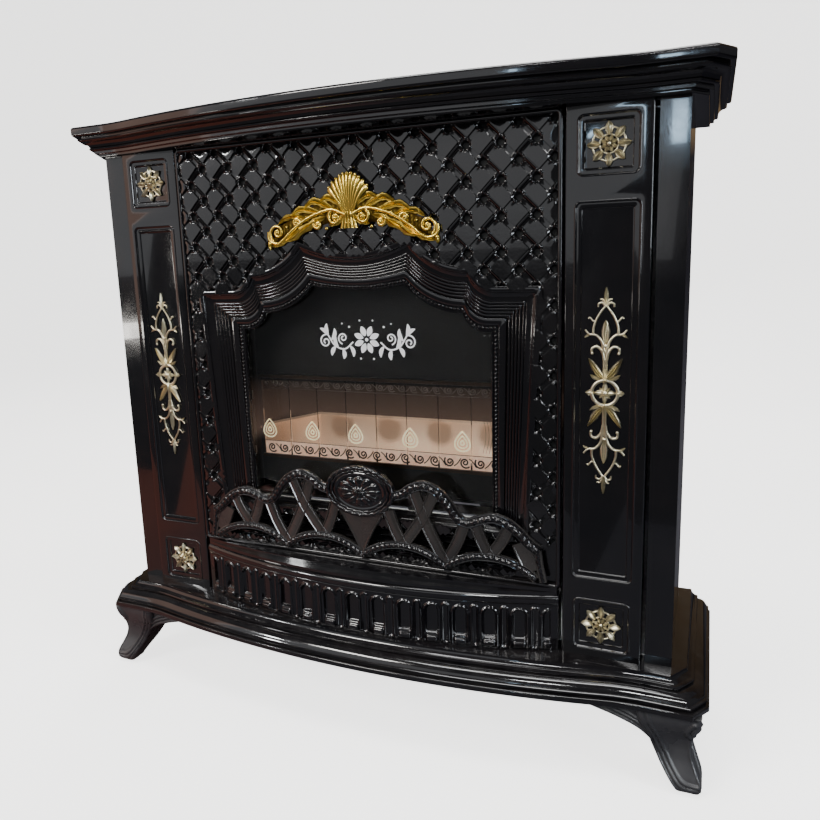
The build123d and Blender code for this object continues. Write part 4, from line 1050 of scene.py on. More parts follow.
@dataclass
class Surround:
    """Window surround: a flat fillet, a cove, five reeds and a beaded channel round the glass."""

    outer_dip: float = 191.0
    outer: tuple[Pair, ...] = ((86.0, 211.0), (172.0, 169.0), (208.0, 143.0), (270.0, 143.0), (250.0, -196.0))
    inner_dip: float = 140.0
    inner: tuple[Pair, ...] = ((74.0, 147.0), (158.0, 107.0), (190.0, 82.0), (197.0, 82.0), (197.0, -184.0))
    reeds: int = 5
    reed_first: float = 0.320
    reed_pitch: float = 0.071

    def half_line(self, share: float) -> Array:
        """Right half of the outline at a share of the way from the outer edge to the glass.

        The crown is an arc over the middle; the two stretches beside it are arcs that arrive level.

        Args:
            share: 0 at the outer edge, 1 at the glass.

        Returns:
            (n, 2) points in X and rise, from the top middle down to the foot's middle.
        """
        spots = [np.asarray(a) * (1 - share) + np.asarray(b) * share for a, b in zip(self.outer, self.inner)]
        peak, shoulder, step, corner, foot = spots
        dip = self.outer_dip * (1 - share) + self.inner_dip * share
        t = shares(25)[:, None]
        crown = np.concatenate([peak[0] * t, dip + (peak[1] - dip) * t**2], 1)

        def sweep(high: Array, low: Array, count: int) -> Array:
            angle = 2 * math.atan2(high[1] - low[1], low[0] - high[0])
            radius = (low[0] - high[0]) / math.sin(angle)
            turn = np.linspace(angle, 0.0, count + 1)[1:]
            return np.stack([low[0] - radius * np.sin(turn), low[1] + radius * (1 - np.cos(turn))], 1)

        ease = shares(9)[1:, None]
        jamb = shares(61)[1:, None]
        sill = shares(13)[1:, None]
        bottom = np.array([0.0, foot[1]])
        return np.concatenate([crown, sweep(peak, shoulder, 24), sweep(shoulder, step, 16),
                               step + (corner - step) * ease, corner + (foot - corner) * jamb,
                               foot + (bottom - foot) * sill])

    def loop(self, share: float) -> Array:
        """Whole closed outline at a share, anticlockwise seen from the front turned back."""
        half = self.half_line(share)
        left = half[-2:0:-1] * np.array([-1.0, 1.0])
        return np.concatenate([half, left])

    def section(self) -> list[Pair]:
        """Share and depth pairs across the moulding."""
        line = [(0.0, 0.5), (0.0, -2.2), (0.012, -3.0), (0.115, -3.0), (0.13, -2.2), (0.135, 0.4),
                (0.155, 0.6)]
        line += [(s, d) for s, d in zip(np.linspace(0.17, 0.31, 8),
                                        0.8 + 3.2 * np.sin(np.linspace(0.25, 1.0, 8) * math.pi / 2))]
        for reed in range(self.reeds):
            low = self.reed_first + self.reed_pitch * reed
            turn = np.linspace(0.0, math.pi, 7)
            share = low + 0.034 - 0.032 * np.cos(turn)
            depth = 4.7 + 0.95 * reed + 0.5 * (turn / math.pi) - 1.8 * np.sin(turn)
            line += list(zip(share.tolist(), depth.tolist()))
        line += [(0.69, 9.6), (0.70, 7.4), (0.71, 7.0), (0.84, 8.2), (0.855, 8.8), (0.862, 11.4),
                 (0.955, 11.6), (0.96, 9.6), (0.965, 9.2), (0.99, 9.4), (0.998, 10.2), (1.0, 15.8)]
        return line

    def build(self) -> None:
        """Builds the moulding and the rope of small beads in its channel, over the arch and down the sides.
        """
        shell = Shell()
        rows = [at_depth(self.loop(share), depth, MIDDLE) for share, depth in self.section()]
        rows.append(at_depth(self.loop(0.2), 15.8, MIDDLE))
        rows.append(at_depth(self.loop(0.155), 6.5, MIDDLE))
        shell.grid(np.stack(rows), wrap=True, ring=True)
        shell.piece("window_surround", Slot.ENAMEL, nodes=["window_frame"], angle=50)
        trim = Shell()
        half = self.half_line(0.908)
        half = half[: len(half) - 12]
        right = even_spacing(half, int(line_length(half) / 5.6))
        both = np.concatenate([right, right[1:] * np.array([-1.0, 1.0])])
        beads(trim, at_depth(both, 11.2, MIDDLE), (2.5, 2.6, 2.5))
        trim.piece("surround_beads", Slot.ENAMEL)


@dataclass
class WovenPanel:
    """Woven front: flat squares on a slanted lattice, ribbed bars between them, flowered vents at the nodes.

    A lattice point (p, q) lies at X = offset + (p - q) * half_pitch_x and at the rise
    first + (p + q) * half_pitch_z.
    """

    half: float = 293.0
    low: float = -265.0
    high: float = 355.0
    offset: float = 8.0
    first: float = 345.5
    half_pitch_x: float = 23.0
    half_pitch_z: float = 22.75
    cell: float = 32.35
    height: float = 3.4
    square: Pair = (13.0, 10.4)
    square_shift: float = 2.6
    edge: float = 0.8
    bars: Pair = (-10.0, -13.1)
    vent: float = 5.1
    pit: float = 5.4
    border: float = 5.0
    air: Triple = (250.0, -250.0, -206.0)
    clear: float = 3.0
    opening: Triple = (271.0, 214.0, -190.0)

    def relief(self, u: Array, v: Array, even: Array) -> Array:
        """Height of the weave over its ground within one cell.

        A flat square with crisp edges, two bars below it, and at the corners a vent in a notched ring:
        2.2 exp(-((r - 7.5) / 1.2)^2) * (0.55 + 0.45 cos 8 angle), falling to a pit inside the vent.

        Args:
            u: distance along the cell's first side from its middle.
            v: distance along its second side.
            even: True where the bars follow the first side.

        Returns:
            Heights in millimetres.
        """
        along = np.where(even, u, v)
        cross = np.where(even, v, u)
        half_along, half_cross = self.square
        square = (np.clip((half_along - np.abs(along)) / self.edge, 0.0, 1.0)
                  * np.clip((half_cross - np.abs(cross - self.square_shift)) / self.edge, 0.0, 1.0))
        height = self.height * square + 0.02 * cross * square
        for middle in self.bars:
            bar = np.clip(1.0 - ((cross - middle) / 1.35) ** 2, 0.0, 1.0) ** 0.5
            height = np.maximum(height, 2.7 * bar * step_up(12.6 - np.abs(along), 0.0, 1.2))
        corner_u = self.cell / 2 - np.abs(u)
        corner_v = self.cell / 2 - np.abs(v)
        reach = np.hypot(corner_u, corner_v)
        turn = np.arctan2(corner_v, corner_u)
        ring = 2.2 * np.exp(-(((reach - 7.5) / 1.2) ** 2)) * (0.55 + 0.45 * np.cos(8 * turn))
        height = np.maximum(height * step_up(reach, 6.6, 9.0), ring)
        return height - self.pit * (1.0 - step_up(reach, self.vent - 0.7, self.vent + 0.5))

    def cuts(self) -> Array:
        """Shares of a cell's side where the grid has lines, closest by the nodes and the edges."""
        lines = [-16.175, -14.6, -13.6, -13.0, -12.2, -11.5, -10.8, -10.0, -9.2, -8.6, -7.8, -7.0, -6.0, 0.0,
                 6.0, 7.4, 8.6, 9.7, 10.8, 11.6, 12.2, 13.0, 14.0, 15.0]
        return (np.array(lines) + self.cell / 2) / self.cell

    def build(self) -> None:
        """Builds the woven skin in two halves, the rim round it and the plate behind."""
        share = self.cuts()
        share = share[share < 0.99]
        steps = np.arange(-24, 12)
        line = (steps[:, None] + share[None, :]).reshape(-1)
        p, q = np.meshgrid(line, line + 6, indexing="ij")
        x = self.offset + (p - q) * self.half_pitch_x
        z = self.first + (p + q) * self.half_pitch_z
        cell_p, cell_q = np.floor(p), np.floor(q)
        u = (p - cell_p - 0.5) * self.cell
        v = (q - cell_q - 0.5) * self.cell
        even = (cell_p + cell_q) % 2 == 0
        edge = np.minimum(self.half - self.border - np.abs(x),
                          np.minimum(z - self.low, self.high - z) - self.border)
        height = self.relief(u, v, even) * step_up(edge, 0.0, 4.0)
        field_points = np.stack([x, -height, z + MIDDLE], -1)
        index = np.arange(x.size).reshape(x.shape)
        quads = quads_of(index)
        centre = field_points.reshape(-1, 3)[quads].mean(1)
        inset = 1.5
        cx, cz = centre[:, 0], centre[:, 2] - MIDDLE
        keep = (np.abs(cx) < self.half - inset) & (cz > self.low + inset) & (cz < self.high - inset)
        quads, cx, cz = quads[keep], cx[keep], cz[keep]
        hole = is_inside(cx, cz, Surround().loop(0.09))
        air_half, air_low, air_high = self.air
        hole |= (np.abs(cx) < air_half) & (cz > air_low) & (cz < air_high)
        quads, cx = quads[~hole], cx[~hole]
        flat = field_points.reshape(-1, 3)
        # Crown falls below zero in the vent pits, which the enamel paints dull black as painted shade.
        shade = np.clip(height.reshape(-1) / self.height, -1.0, 1.0)
        for name, mask in (("woven_front_left", cx < self.offset), ("woven_front_right", cx >= self.offset)):
            used, packed = np.unique(quads[mask], return_inverse=True)
            shell = Shell()
            shell.add(flat[used], packed.reshape(-1, 4).tolist(), shade[used])
            shell.piece(name, Slot.ENAMEL, nodes=["front_panel"], finish="woven_enamel", angle=34)
        self.build_rim()

    def build_rim(self) -> None:
        """Builds the raised rim and the plate behind the weave."""
        shell = Shell()
        radius, rows = 8.0, []
        section = [(0.0, 6.0), (0.0, -1.8), (0.6, -2.8), (1.6, -3.2), (3.2, -3.2), (4.4, -2.7), (5.0, -1.6),
                   (5.6, 0.4), (5.6, 3.0)]
        for inset, depth in section:
            bend = max(radius - inset, 0.8)
            ring = rounded_frame(self.half - inset, self.low + inset, self.high - inset, bend, 7)
            rows.append(at_depth(ring, depth, MIDDLE))
        shell.grid(np.stack(rows), wrap=True, ring=True)
        air_half, air_low, _ = self.air
        back, front = 6.0, 5.5
        wide, low, high = self.half - self.clear, self.low + self.clear, self.high - self.clear
        open_half, open_top, open_low = self.opening
        for x0, x1, z0, z1 in ((-wide, wide, open_top, high), (-wide, -open_half, low, open_top),
                               (open_half, wide, low, open_top), (-open_half, open_half, low, air_low),
                               (-open_half, -air_half, air_low, open_low),
                               (air_half, open_half, air_low, open_low)):
            shell.box((x0, front, z0 + MIDDLE), (x1, back, z1 + MIDDLE))
        shell.piece("woven_front_rim", Slot.ENAMEL, nodes=["front_panel"], angle=40)


FLAT_BAR = [(-1.0, -1.2), (-1.0, 0.2), (-0.8, 0.9), (0.8, 0.9), (1.0, 0.2), (1.0, -1.2)]
GROOVED_BAR = [(-1.0, -1.6), (-1.0, 0.5), (-0.93, 1.5), (-0.80, 1.5), (-0.70, 0.1), (-0.45, 0.6), (0.0, 0.9),
               (0.45, 0.6), (0.70, 0.1), (0.80, 1.5), (0.93, 1.5), (1.0, 0.5), (1.0, -1.6)]
PLATE_BAR = [(-1.0, -1.6), (-0.96, 0.9), (-0.82, 0.9), (-0.76, 0.0), (0.76, 0.0), (0.82, 0.9), (0.96, 0.9),
             (1.0, -1.6)]


@dataclass
class Fender:
    """Pierced fender: roped upper and lower edges, grooved crossing ribs and an oval medallion."""

    half: float = 262.0
    back: float = -3.0
    front: float = -9.4
    arch_foot: float = -253.0
    arch_rise: float = 23.0
    arches: int = 4
    middle: float = -153.0
    half_x: float = 55.0
    half_z: float = 37.0
    bar: float = 14.0
    rib: float = 17.0
    scallop: float = 12.0
    bar_edge: float = 5.6
    scallop_edge: float = 4.8
    bar_rope: float = 4.3
    scallop_rope: float = 3.5
    foot_lift: float = 5.0
    bed: float = 1.6
    bead_in: float = 1.3
    bright: float = 1.8
    crests: tuple[Pair, ...] = (
        (265.0, -212.0), (252.0, -203.0), (239.0, -190.0), (222.0, -178.0), (202.0, -173.0), (182.0, -178.0),
        (165.0, -184.0), (151.0, -178.0), (138.0, -161.0), (122.0, -144.0), (101.0, -136.0), (81.0, -142.0),
        (67.0, -152.0), (54.0, -156.0))
    rib_tops: tuple[tuple[int, float], ...] = ((1, 44.0), (1, 118.0), (2, 84.0), (2, 162.0), (3, 176.0),
                                               (3, 226.0))

    def band(self, shell: Shell, line: Array, width: float, profile: Points) -> None:
        """Adds a flat bar along a line in X and rise, its front following a profile across.

        Args:
            shell: the shell it joins.
            line: (n, 2) middle line.
            width: full width.
            profile: share across from -1 to 1 and height over the front plane.
        """
        section = np.asarray(profile, float)
        side = side_vectors(line)
        place = line[:, None, :] + side[:, None, :] * (section[:, 0] * width / 2)[None, :, None]
        depth = np.broadcast_to(self.front + self.bed - section[:, 1], place.shape[:2])
        shade = np.broadcast_to(np.clip(section[:, 1] / self.bright, 0.0, 1.0), place.shape[:2])
        shell.slab(np.stack([place[..., 0], depth, place[..., 1] + MIDDLE], -1), self.back, shade)

    def rope(self, shell: Shell, line: Array, radius: float, twist: float = 7.0) -> None:
        """Adds a twisted rope along a line in X and rise, standing on the front plane."""
        even = even_spacing(line, max(8, int(line_length(line) / 1.3)))
        tube(shell, at_depth(even, self.front + 0.9, MIDDLE), radius, 10, twist=twist, strands=2)

    def arch(self, index: int) -> Array:
        """Middle line of one lower scallop."""
        span = 2 * self.half / self.arches
        share = shares(31, -1.0)
        centre = -self.half + (index + 0.5) * span
        rise = self.arch_foot + self.arch_rise * (1 - share**2) ** 0.9
        return np.stack([centre + share * span / 2, rise], 1)

    def build(self) -> None:
        """Builds bars, ropes, the medallion and its rosette."""
        bars, ropes = Shell(), Shell()
        top = smooth_line(np.array(self.crests), 110)
        span = 2 * self.half / self.arches
        for side in (1.0, -1.0):
            flip = np.array([side, 1.0])
            self.band(bars, top * flip, self.bar, FLAT_BAR)
            self.rope(ropes, top * flip, self.bar_rope, 9.0)
            for way in (-self.bar_edge, self.bar_edge):
                edge = even_spacing(top + side_vectors(top) * way, 150) * flip
                tube(ropes, at_depth(edge, self.front + self.bead_in, MIDDLE), 1.6, 8)
            for step, top_x in self.rib_tops:
                foot_z = self.arch_foot + (self.foot_lift if step % 2 == 0 else self.arch_rise)
                crown_z = self.middle - 0.7 * self.half_z
                if top_x > self.crests[-1][0]:
                    crown_z = float(np.interp(-top_x, -top[:, 0], top[:, 1]))
                foot = np.array([step * span / 2, foot_z])
                head = np.array([top_x, crown_z])
                bend = (foot + head) / 2 + np.array([0.09 * (head - foot)[0], 0.0])
                self.band(bars, smooth_line(np.stack([foot, bend, head]), 14) * flip, self.rib, GROOVED_BAR)
            self.end_post(bars, ropes, side)
        self.wedge(bars)
        for index in range(self.arches):
            line = self.arch(index)
            self.band(bars, line, self.scallop, FLAT_BAR)
            self.rope(ropes, line, self.scallop_rope, 8.0)
            for way in (-self.scallop_edge, self.scallop_edge):
                edge = line + np.array([0.0, way])
                tube(ropes, at_depth(edge, self.front + self.bead_in, MIDDLE), 1.3, 8)
        bars.piece("fender_bars", Slot.ENAMEL, nodes=["fender"], finish="fender_enamel", angle=34)
        ropes.piece("fender_ropes", Slot.ENAMEL)
        self.medallion()

    def end_post(self, bars: Shell, ropes: Shell, side: float) -> None:
        """Adds one end's web and its upright post."""
        flip = np.array([side, 1.0])
        post = np.array([(264.0, -212.0), (267.0, -234.0), (272.0, -256.0)]) * flip
        self.band(bars, smooth_line(post, 12), 10.0, FLAT_BAR)
        self.rope(ropes, smooth_line(post, 12), 2.4)
        web = np.array([(240.0, -204.0), (248.0, -222.0), (258.0, -242.0)]) * flip
        self.band(bars, smooth_line(web, 10), 24.0, PLATE_BAR)

    def wedge(self, bars: Shell) -> None:
        """Adds the filled wedge under the medallion, ridged at its edges and folded down its middle."""
        share = shares(22)[:, None]
        across = shares(33, -1.0)[None, :]
        half = 33.0 * (1 - share) ** 1.25 + 4.5
        away = np.abs(across) * half
        rim = step_up(away, half - 3.4, half - 2.2) * step_up(half - away, 0.0, 0.8)
        fold = 1.0 - 1.4 * np.clip(1.0 - away / 14.0, 0.0, 1.0) * (1 - share)
        lift = 0.2 + 1.1 * rim + 0.5 * fold
        rise = self.middle - 32.0 - 62.0 * share + MIDDLE
        front = np.stack(np.broadcast_arrays(half * across, self.front + self.bed - lift, rise), -1)
        bars.slab(front, self.back, np.clip(lift / self.bright, 0.0, 1.0))

    def medallion(self) -> None:
        """Builds the domed oval with two roped rings round a twelve-petalled rosette."""
        shell = Shell()
        ring = shares(30)[:, None]
        turn = whole_turn(120)[None, :]
        petals = np.abs(np.cos(6 * turn)) ** 0.6
        dome = 1.6 * (1 - ring**2)
        flower = 2.6 * step_up(0.60 * (0.72 + 0.28 * petals) - ring, -0.03, 0.08) * (0.55 + 0.45 * petals)
        flower = flower - 0.9 * step_up(0.055 - np.abs(ring - 0.24), 0.0, 0.03)
        heart = 1.8 * step_up(0.15 - ring, -0.02, 0.06)
        lip = 1.6 * step_up(0.035 - np.abs(ring - 0.74), 0.0, 0.02)
        lift = dome + flower + heart + lip
        x, z = self.half_x * ring * np.cos(turn), self.half_z * ring * np.sin(turn)
        front = np.stack([x, self.front - lift, z + self.middle + MIDDLE], -1)
        rim = np.stack([x[-1], np.full(x.shape[1], self.back), z[-1] + self.middle + MIDDLE], -1)
        shade = np.concatenate([np.clip(lift / 4.5, 0, 1), np.zeros((1, x.shape[1]))])
        shell.grid(np.concatenate([front, rim[None]]), wrap=True, caps=True, crown=shade)
        turn = whole_turn(200)
        for share, radius in ((0.955, 3.1), (0.84, 2.0)):
            line = np.stack([self.half_x * share * np.cos(turn),
                             self.middle + MIDDLE + self.half_z * share * np.sin(turn)], 1)
            even = even_spacing(line, 190, closed=True)
            tube(shell, at_depth(even, self.front - 1.4), radius, 10, closed=True, twist=12.0, strands=2)
        shell.piece("fender_medallion", Slot.ENAMEL, angle=60)


@dataclass
class Apron:
    """Bowed apron with a rolled lip and round-headed flutes in raised borders over small pads."""

    half: float = 291.0
    bow: float = 47.0
    low: float = 149.0
    high: float = 228.6
    flutes: int = 14
    thick: float = 8.0
    flute_head: float = 198.0
    pad: float = 156.0
    fillet: float = 215.2
    lip: float = 217.0

    def relief(self, run: Array, z: Array) -> Array:
        """Height of the apron's face over its ground.

        Args:
            run: X along the front.
            z: height from the floor.

        Returns:
            Heights in millimetres, below zero inside a flute.
        """
        pitch = 2 * self.half / (self.flutes + 0.5)
        local = (run / pitch + 0.5 * (self.flutes % 2 == 0)) % 1.0 - 0.5
        within = np.abs(run) < pitch * self.flutes / 2
        x = local * pitch
        reach = np.hypot(x, np.maximum(z - self.flute_head, 0.0))
        border = 2.7 * np.exp(-(((reach - 11.2) / 1.5) ** 2)) * step_up(z, 150.0, 152.0)
        bowl = -4.4 * step_up(9.2 - reach, 0.0, 2.2) * step_up(z, 163.0, 166.0)
        pad = 3.4 * step_up(8.8 - np.abs(x), 0.0, 2.4) * step_up(5.2 - np.abs(z - self.pad), 0.0, 2.6)
        past = np.maximum(z - 207.5, 0.0) + np.maximum(self.pad - z, 0.0)
        round_by = np.hypot(np.abs(x) - pitch / 2, past)
        rib = 3.0 * np.exp(-(((round_by - 4.3) / 1.35) ** 2))
        fillet = 0.9 * np.exp(-(((z - self.fillet) / 0.8) ** 2))
        lip = 2.4 * step_up(z, self.lip, self.lip + 2.0) * step_up(228.4 - z, 0.0, 4.6) ** 0.5
        body = (border + bowl + pad + rib) * within
        return np.where(z > self.lip, lip, body) + fillet

    def build(self) -> None:
        """Builds the apron as one closed relief, bent on its bow."""
        columns = 485
        run = np.linspace(-self.half, self.half, columns)
        z = np.linspace(self.low, self.high, 68)
        run_grid, z_grid = np.meshgrid(run, z)
        lift = self.relief(run_grid, z_grid)
        radius = (self.half**2 + self.bow**2) / (2 * self.bow)
        angle = np.arcsin(run_grid / radius)
        y = radius - self.bow - (radius + lift) * np.cos(angle)
        x = np.clip((radius + lift) * np.sin(angle), -self.half, self.half)
        front = np.stack([x, y, z_grid], -1)
        inner = radius - self.thick
        back = np.stack([inner * np.sin(angle), radius - self.bow - inner * np.cos(angle), z_grid], -1)
        shell = Shell()
        ends = back[[0, -1]]
        loop = np.concatenate([ends[:1], front, ends[1:]])
        level = np.zeros((1, columns))
        # Crown falls below zero in the flute hollows, which the enamel paints dull black as painted shade.
        shade = np.clip(0.4 + np.concatenate([level, lift, level]) / 3.0, 0.0, 1.0)
        shell.grid(loop.transpose(1, 0, 2), wrap=True, caps=True, crown=shade.T)
        for side in (-1.0, 1.0):
            shell.box((side * self.half - 4.0 * (side > 0), -0.5, self.low),
                      (side * self.half + 4.0 * (side < 0), 24.0, self.high))
        shell.piece("fluted_apron", Slot.ENAMEL, nodes=["apron"], angle=60)


@dataclass
class Pilaster:
    """Pilaster with a tall sunk panel between two square ones, their edges stepped and beaded."""

    side: int
    half: float = 51.5
    depth: float = 26.0
    round_edge: float = 2.4
    panels: tuple[Triple, ...] = ((LOWER_PANEL, 35.0, 34.0), (504.5, 37.5, 242.5), (UPPER_PANEL, 35.0, 34.0))
    splits: tuple[float, ...] = (BODY_BOTTOM, 245.5, 763.5, BODY_TOP)
    section: tuple[Triple, ...] = (
        (-2.6, 0.0, 8.6), (-2.2, -0.55, 8.2), (-1.5, -0.8, 7.5), (-0.8, -0.55, 6.8), (-0.3, 0.1, 6.3),
        (0.2, 1.5, 6.0), (0.7, 1.95, 5.5), (5.4, 2.0, 2.4), (6.0, 2.2, 2.0), (6.5, 3.3, 1.8),
        (7.1, 3.85, 1.6), (7.8, 4.0, 1.4))

    def build(self) -> None:
        """Builds the faces band by band and the rounded flanks round them."""
        shell = Shell()
        face_half = self.half - self.round_edge
        for (panel_z, half_x, half_z), low, high in zip(self.panels, self.splits, self.splits[1:]):
            rows = []
            corner_x = np.repeat([face_half, -face_half, -face_half, face_half], 8)
            corner_z = np.repeat([high, high, low, low], 8)
            rows.append(np.stack([corner_x, np.zeros(32), corner_z], 1))
            for inset, depth, radius in self.section:
                tall = half_z - inset
                rows.append(at_depth(rounded_frame(half_x - inset, -tall, tall, radius, 8), depth, panel_z))
            grid = np.stack(rows)
            count = len(rows)
            points = grid.reshape(-1, 3)
            index = np.arange(count * 32).reshape(count, 32)
            wrapped = np.concatenate([index, index[:, :1]], 1)
            shell.add(points, [tuple(quad) for quad in quads_of(wrapped).tolist()]
                      + [tuple(index[-1].tolist())])
        turn = quarter_turn(5)
        edge_x = face_half + self.round_edge * np.sin(turn)
        edge_y = self.round_edge * (1 - np.cos(turn))
        outline_x = np.concatenate([edge_x, [self.half, -self.half], -edge_x[::-1]])
        outline_y = np.concatenate([edge_y, [self.depth, self.depth], edge_y[::-1]])
        levels = np.array(self.splits)
        flank = np.stack(np.broadcast_arrays(outline_x[None, :], outline_y[None, :], levels[:, None]), -1)
        shell.grid(flank)
        ends = np.arange(len(outline_x))
        for level in (levels[0], levels[-1]):
            rim = np.stack([outline_x, outline_y, np.full(len(outline_x), level)], -1)
            shell.add(rim, [tuple(ends.tolist())])
        shell.points = [part + np.array([self.side * PILASTER_MIDDLE, 0.0, 0.0]) for part in shell.points]
        label = "right" if self.side > 0 else "left"
        shell.piece("panelled_pilaster_" + label, Slot.ENAMEL, nodes=["pilaster_" + label], angle=35)


@dataclass
class Foot:
    """Cabriole foot: a post with ridges down its inner edges and a curled knee, and two ridged wings."""

    side: int
    end: int
    knee: float = 41.0
    front_y: float = 2.0
    rear_y: float = 206.0
    wing: float = 148.0
    bow: float = 8.0
    inner_face: float = 6.5
    outer_face: float = 16.6
    ridge_count: int = 3
    ridge_pitch: float = 6.4
    ridge_height: float = 2.6
    curl_middle: float = 90.0
    curl_pitch: float = 6.8
    curl_height: float = 3.2
    curl_reach: float = 22.0
    wing_edge: tuple[Pair, ...] = (
        (0.0, 46.0), (0.135, 58.0), (0.182, 64.5), (0.243, 71.0), (0.31, 76.0), (0.37, 79.0), (0.44, 82.3),
        (0.51, 85.0), (0.70, 91.0), (0.845, 95.0), (1.0, 100.0))
    side_wing: float = 88.0

    def place(self, points: Array) -> Array:
        """Turns a foot's own outward X, outward Y and height into the maker's frame."""
        centre_y = self.front_y if self.end < 0 else self.rear_y
        spot = np.asarray(points, float).reshape(-1, 3)
        placed = [self.side * (HALF_BODY + spot[:, 0]), centre_y + self.end * spot[:, 1], spot[:, 2]]
        return np.stack(placed, 1).reshape(points.shape)

    def reach(self, share: Array) -> tuple[Array, Array]:
        """Outer and inner reach of the post at shares of its height."""
        outer_z = [0.0, 0.02, 0.06, 0.13, 0.20, 0.30, 0.42, 0.54, 0.66, 0.78, 0.88, 0.94, 1.0]
        outer = [0.84, 0.94, 1.02, 1.06, 1.03, 0.90, 0.76, 0.70, 0.75, 0.88, 0.99, 1.0, 1.0]
        inner_z = [0.0, 0.08, 0.18, 0.34, 0.495, 0.62, 0.77, 1.0]
        inner = [0.30, 0.20, 0.02, -0.28, -0.51, -0.66, -0.88, -1.04]
        return self.knee * np.interp(share, outer_z, outer), self.knee * np.interp(share, inner_z, inner)

    def section(self) -> Array:
        """Unit section of the post: a square with eased corners, close points on its faces."""
        ease, flat = 0.16, np.linspace(-0.84, 0.84, 41)[:-1]
        turn = quarter_turn(5)[:-1]
        face = np.stack([np.ones(40), flat], 1)
        corner = np.stack([1 - ease + ease * np.cos(turn), 1 - ease + ease * np.sin(turn)], 1)
        side = np.concatenate([face, corner])
        spins = [np.array([[1, 0], [0, 1]]), np.array([[0, 1], [-1, 0]]), np.array([[-1, 0], [0, -1]]),
                 np.array([[0, -1], [1, 0]])]
        return np.concatenate([side @ spin for spin in spins])

    def ridges(self, away: Array) -> Array:
        """Rounded ridges side by side, by the distance from the edge that they follow."""
        within = step_up(away, 0.0, 1.0) * step_up(self.ridge_count * self.ridge_pitch - away, 0.0, 1.2)
        return self.ridge_height * np.abs(np.sin(math.pi * away / self.ridge_pitch)) ** 0.7 * within

    def edge_reach(self, across: Array, height: Array) -> Array:
        """Soft minimum of the distances from the inner edge and from the toe's underside."""
        return -4.0 * np.log(np.exp(-across / 4.0) + np.exp(-height / 4.0))

    def volute(self, away: Array, height: Array) -> Array:
        """Curled ridges on the knee, rising inwards from the outer edge."""
        reach = np.hypot(away + 3.0, 1.15 * (height - self.curl_middle))
        curl = self.curl_height * np.abs(np.sin(math.pi * reach / self.curl_pitch)) ** 0.7
        return curl * step_up(self.curl_reach - reach, 0.0, 2.0)

    def build(self) -> None:
        """Builds the post, the wings and the bolt lug."""
        shell = Shell()
        share = shares(84)
        outer, inner = self.reach(share)
        kernel = np.array([0.25, 0.5, 0.25])
        for _ in range(12):
            outer[1:-1] = np.convolve(outer, kernel, "valid")
            inner[1:-1] = np.convolve(inner, kernel, "valid")
        unit = self.section()
        centre, half = ((outer + inner) / 2)[:, None], ((outer - inner) / 2)[:, None] - 1.2
        toe = 1.0 - 0.35 * step_up(0.05 - share, 0.0, 0.05)[:, None]
        x, y = centre + half * unit[None, :, 0] * toe, centre + half * unit[None, :, 1] * toe
        fade = step_up(share, 0.0, 0.04)[:, None] * step_up(1.0 - share, 0.0, 0.02)[:, None]
        z = np.broadcast_to(FOOT_TOP * share[:, None], x.shape)
        lifts = []
        for across, face in ((y, unit[None, :, 0] > 0.99), (x, unit[None, :, 1] > 0.99)):
            relief = self.ridges(self.edge_reach(across - inner[:, None], z))
            relief = relief + self.volute(outer[:, None] - across, z) - 1.6
            lifts.append(relief * face * fade)
        shell.grid(self.place(np.stack([x + lifts[0], y + lifts[1], z], -1)), wrap=True, caps=True)
        self.wing_plate(shell, self.wing, False)
        self.wing_plate(shell, self.side_wing, True)
        lug = np.array([[-13.0, -70.0, 101.0], [12.0, -34.0, 109.0]])
        corners = self.place(lug)
        shell.box(corners.min(0), corners.max(0))
        name = ("front" if self.end < 0 else "rear") + ("_left" if self.side < 0 else "_right")
        shell.piece("cabriole_foot_" + name, Slot.FOOT, nodes=["foot_" + name], angle=50)

    def wing_plate(self, shell: Shell, reach: float, turned: bool) -> None:
        """Adds one wing, which springs from the post's face, curves up to its tip and is ridged at its edge.

        Args:
            shell: the shell it joins.
            reach: length of the wing.
            turned: True for the wing that runs along the side.
        """
        t = shares(44)[:, None]
        edge = np.interp(t, *np.transpose(self.wing_edge))
        s = shares(34)[None, :]
        height = edge + (FOOT_TOP - edge) * s
        post_face = self.reach(height / FOOT_TOP)[0] - 1.5
        face = self.outer_face + (post_face - self.outer_face) * (1 - t) ** 1.5 - 2.0
        if self.end < 0 and not turned:
            face = face + self.bow * t**1.5
        face = face + (1.25 * self.ridges(height - edge) * step_up(FOOT_TOP - height, 0.0, 2.0)
                       * step_up(t, 0.06, 0.18))
        along = np.broadcast_to(-reach * t, height.shape)
        faces = []
        for across in (face, np.full(height.shape, self.inner_face)):
            plan = (across, along) if turned else (along, across)
            faces.append(np.stack([*plan, height], -1))
        shell.grid(self.place(np.concatenate([faces[0], faces[1][:, ::-1]], 1)), wrap=True, caps=True)


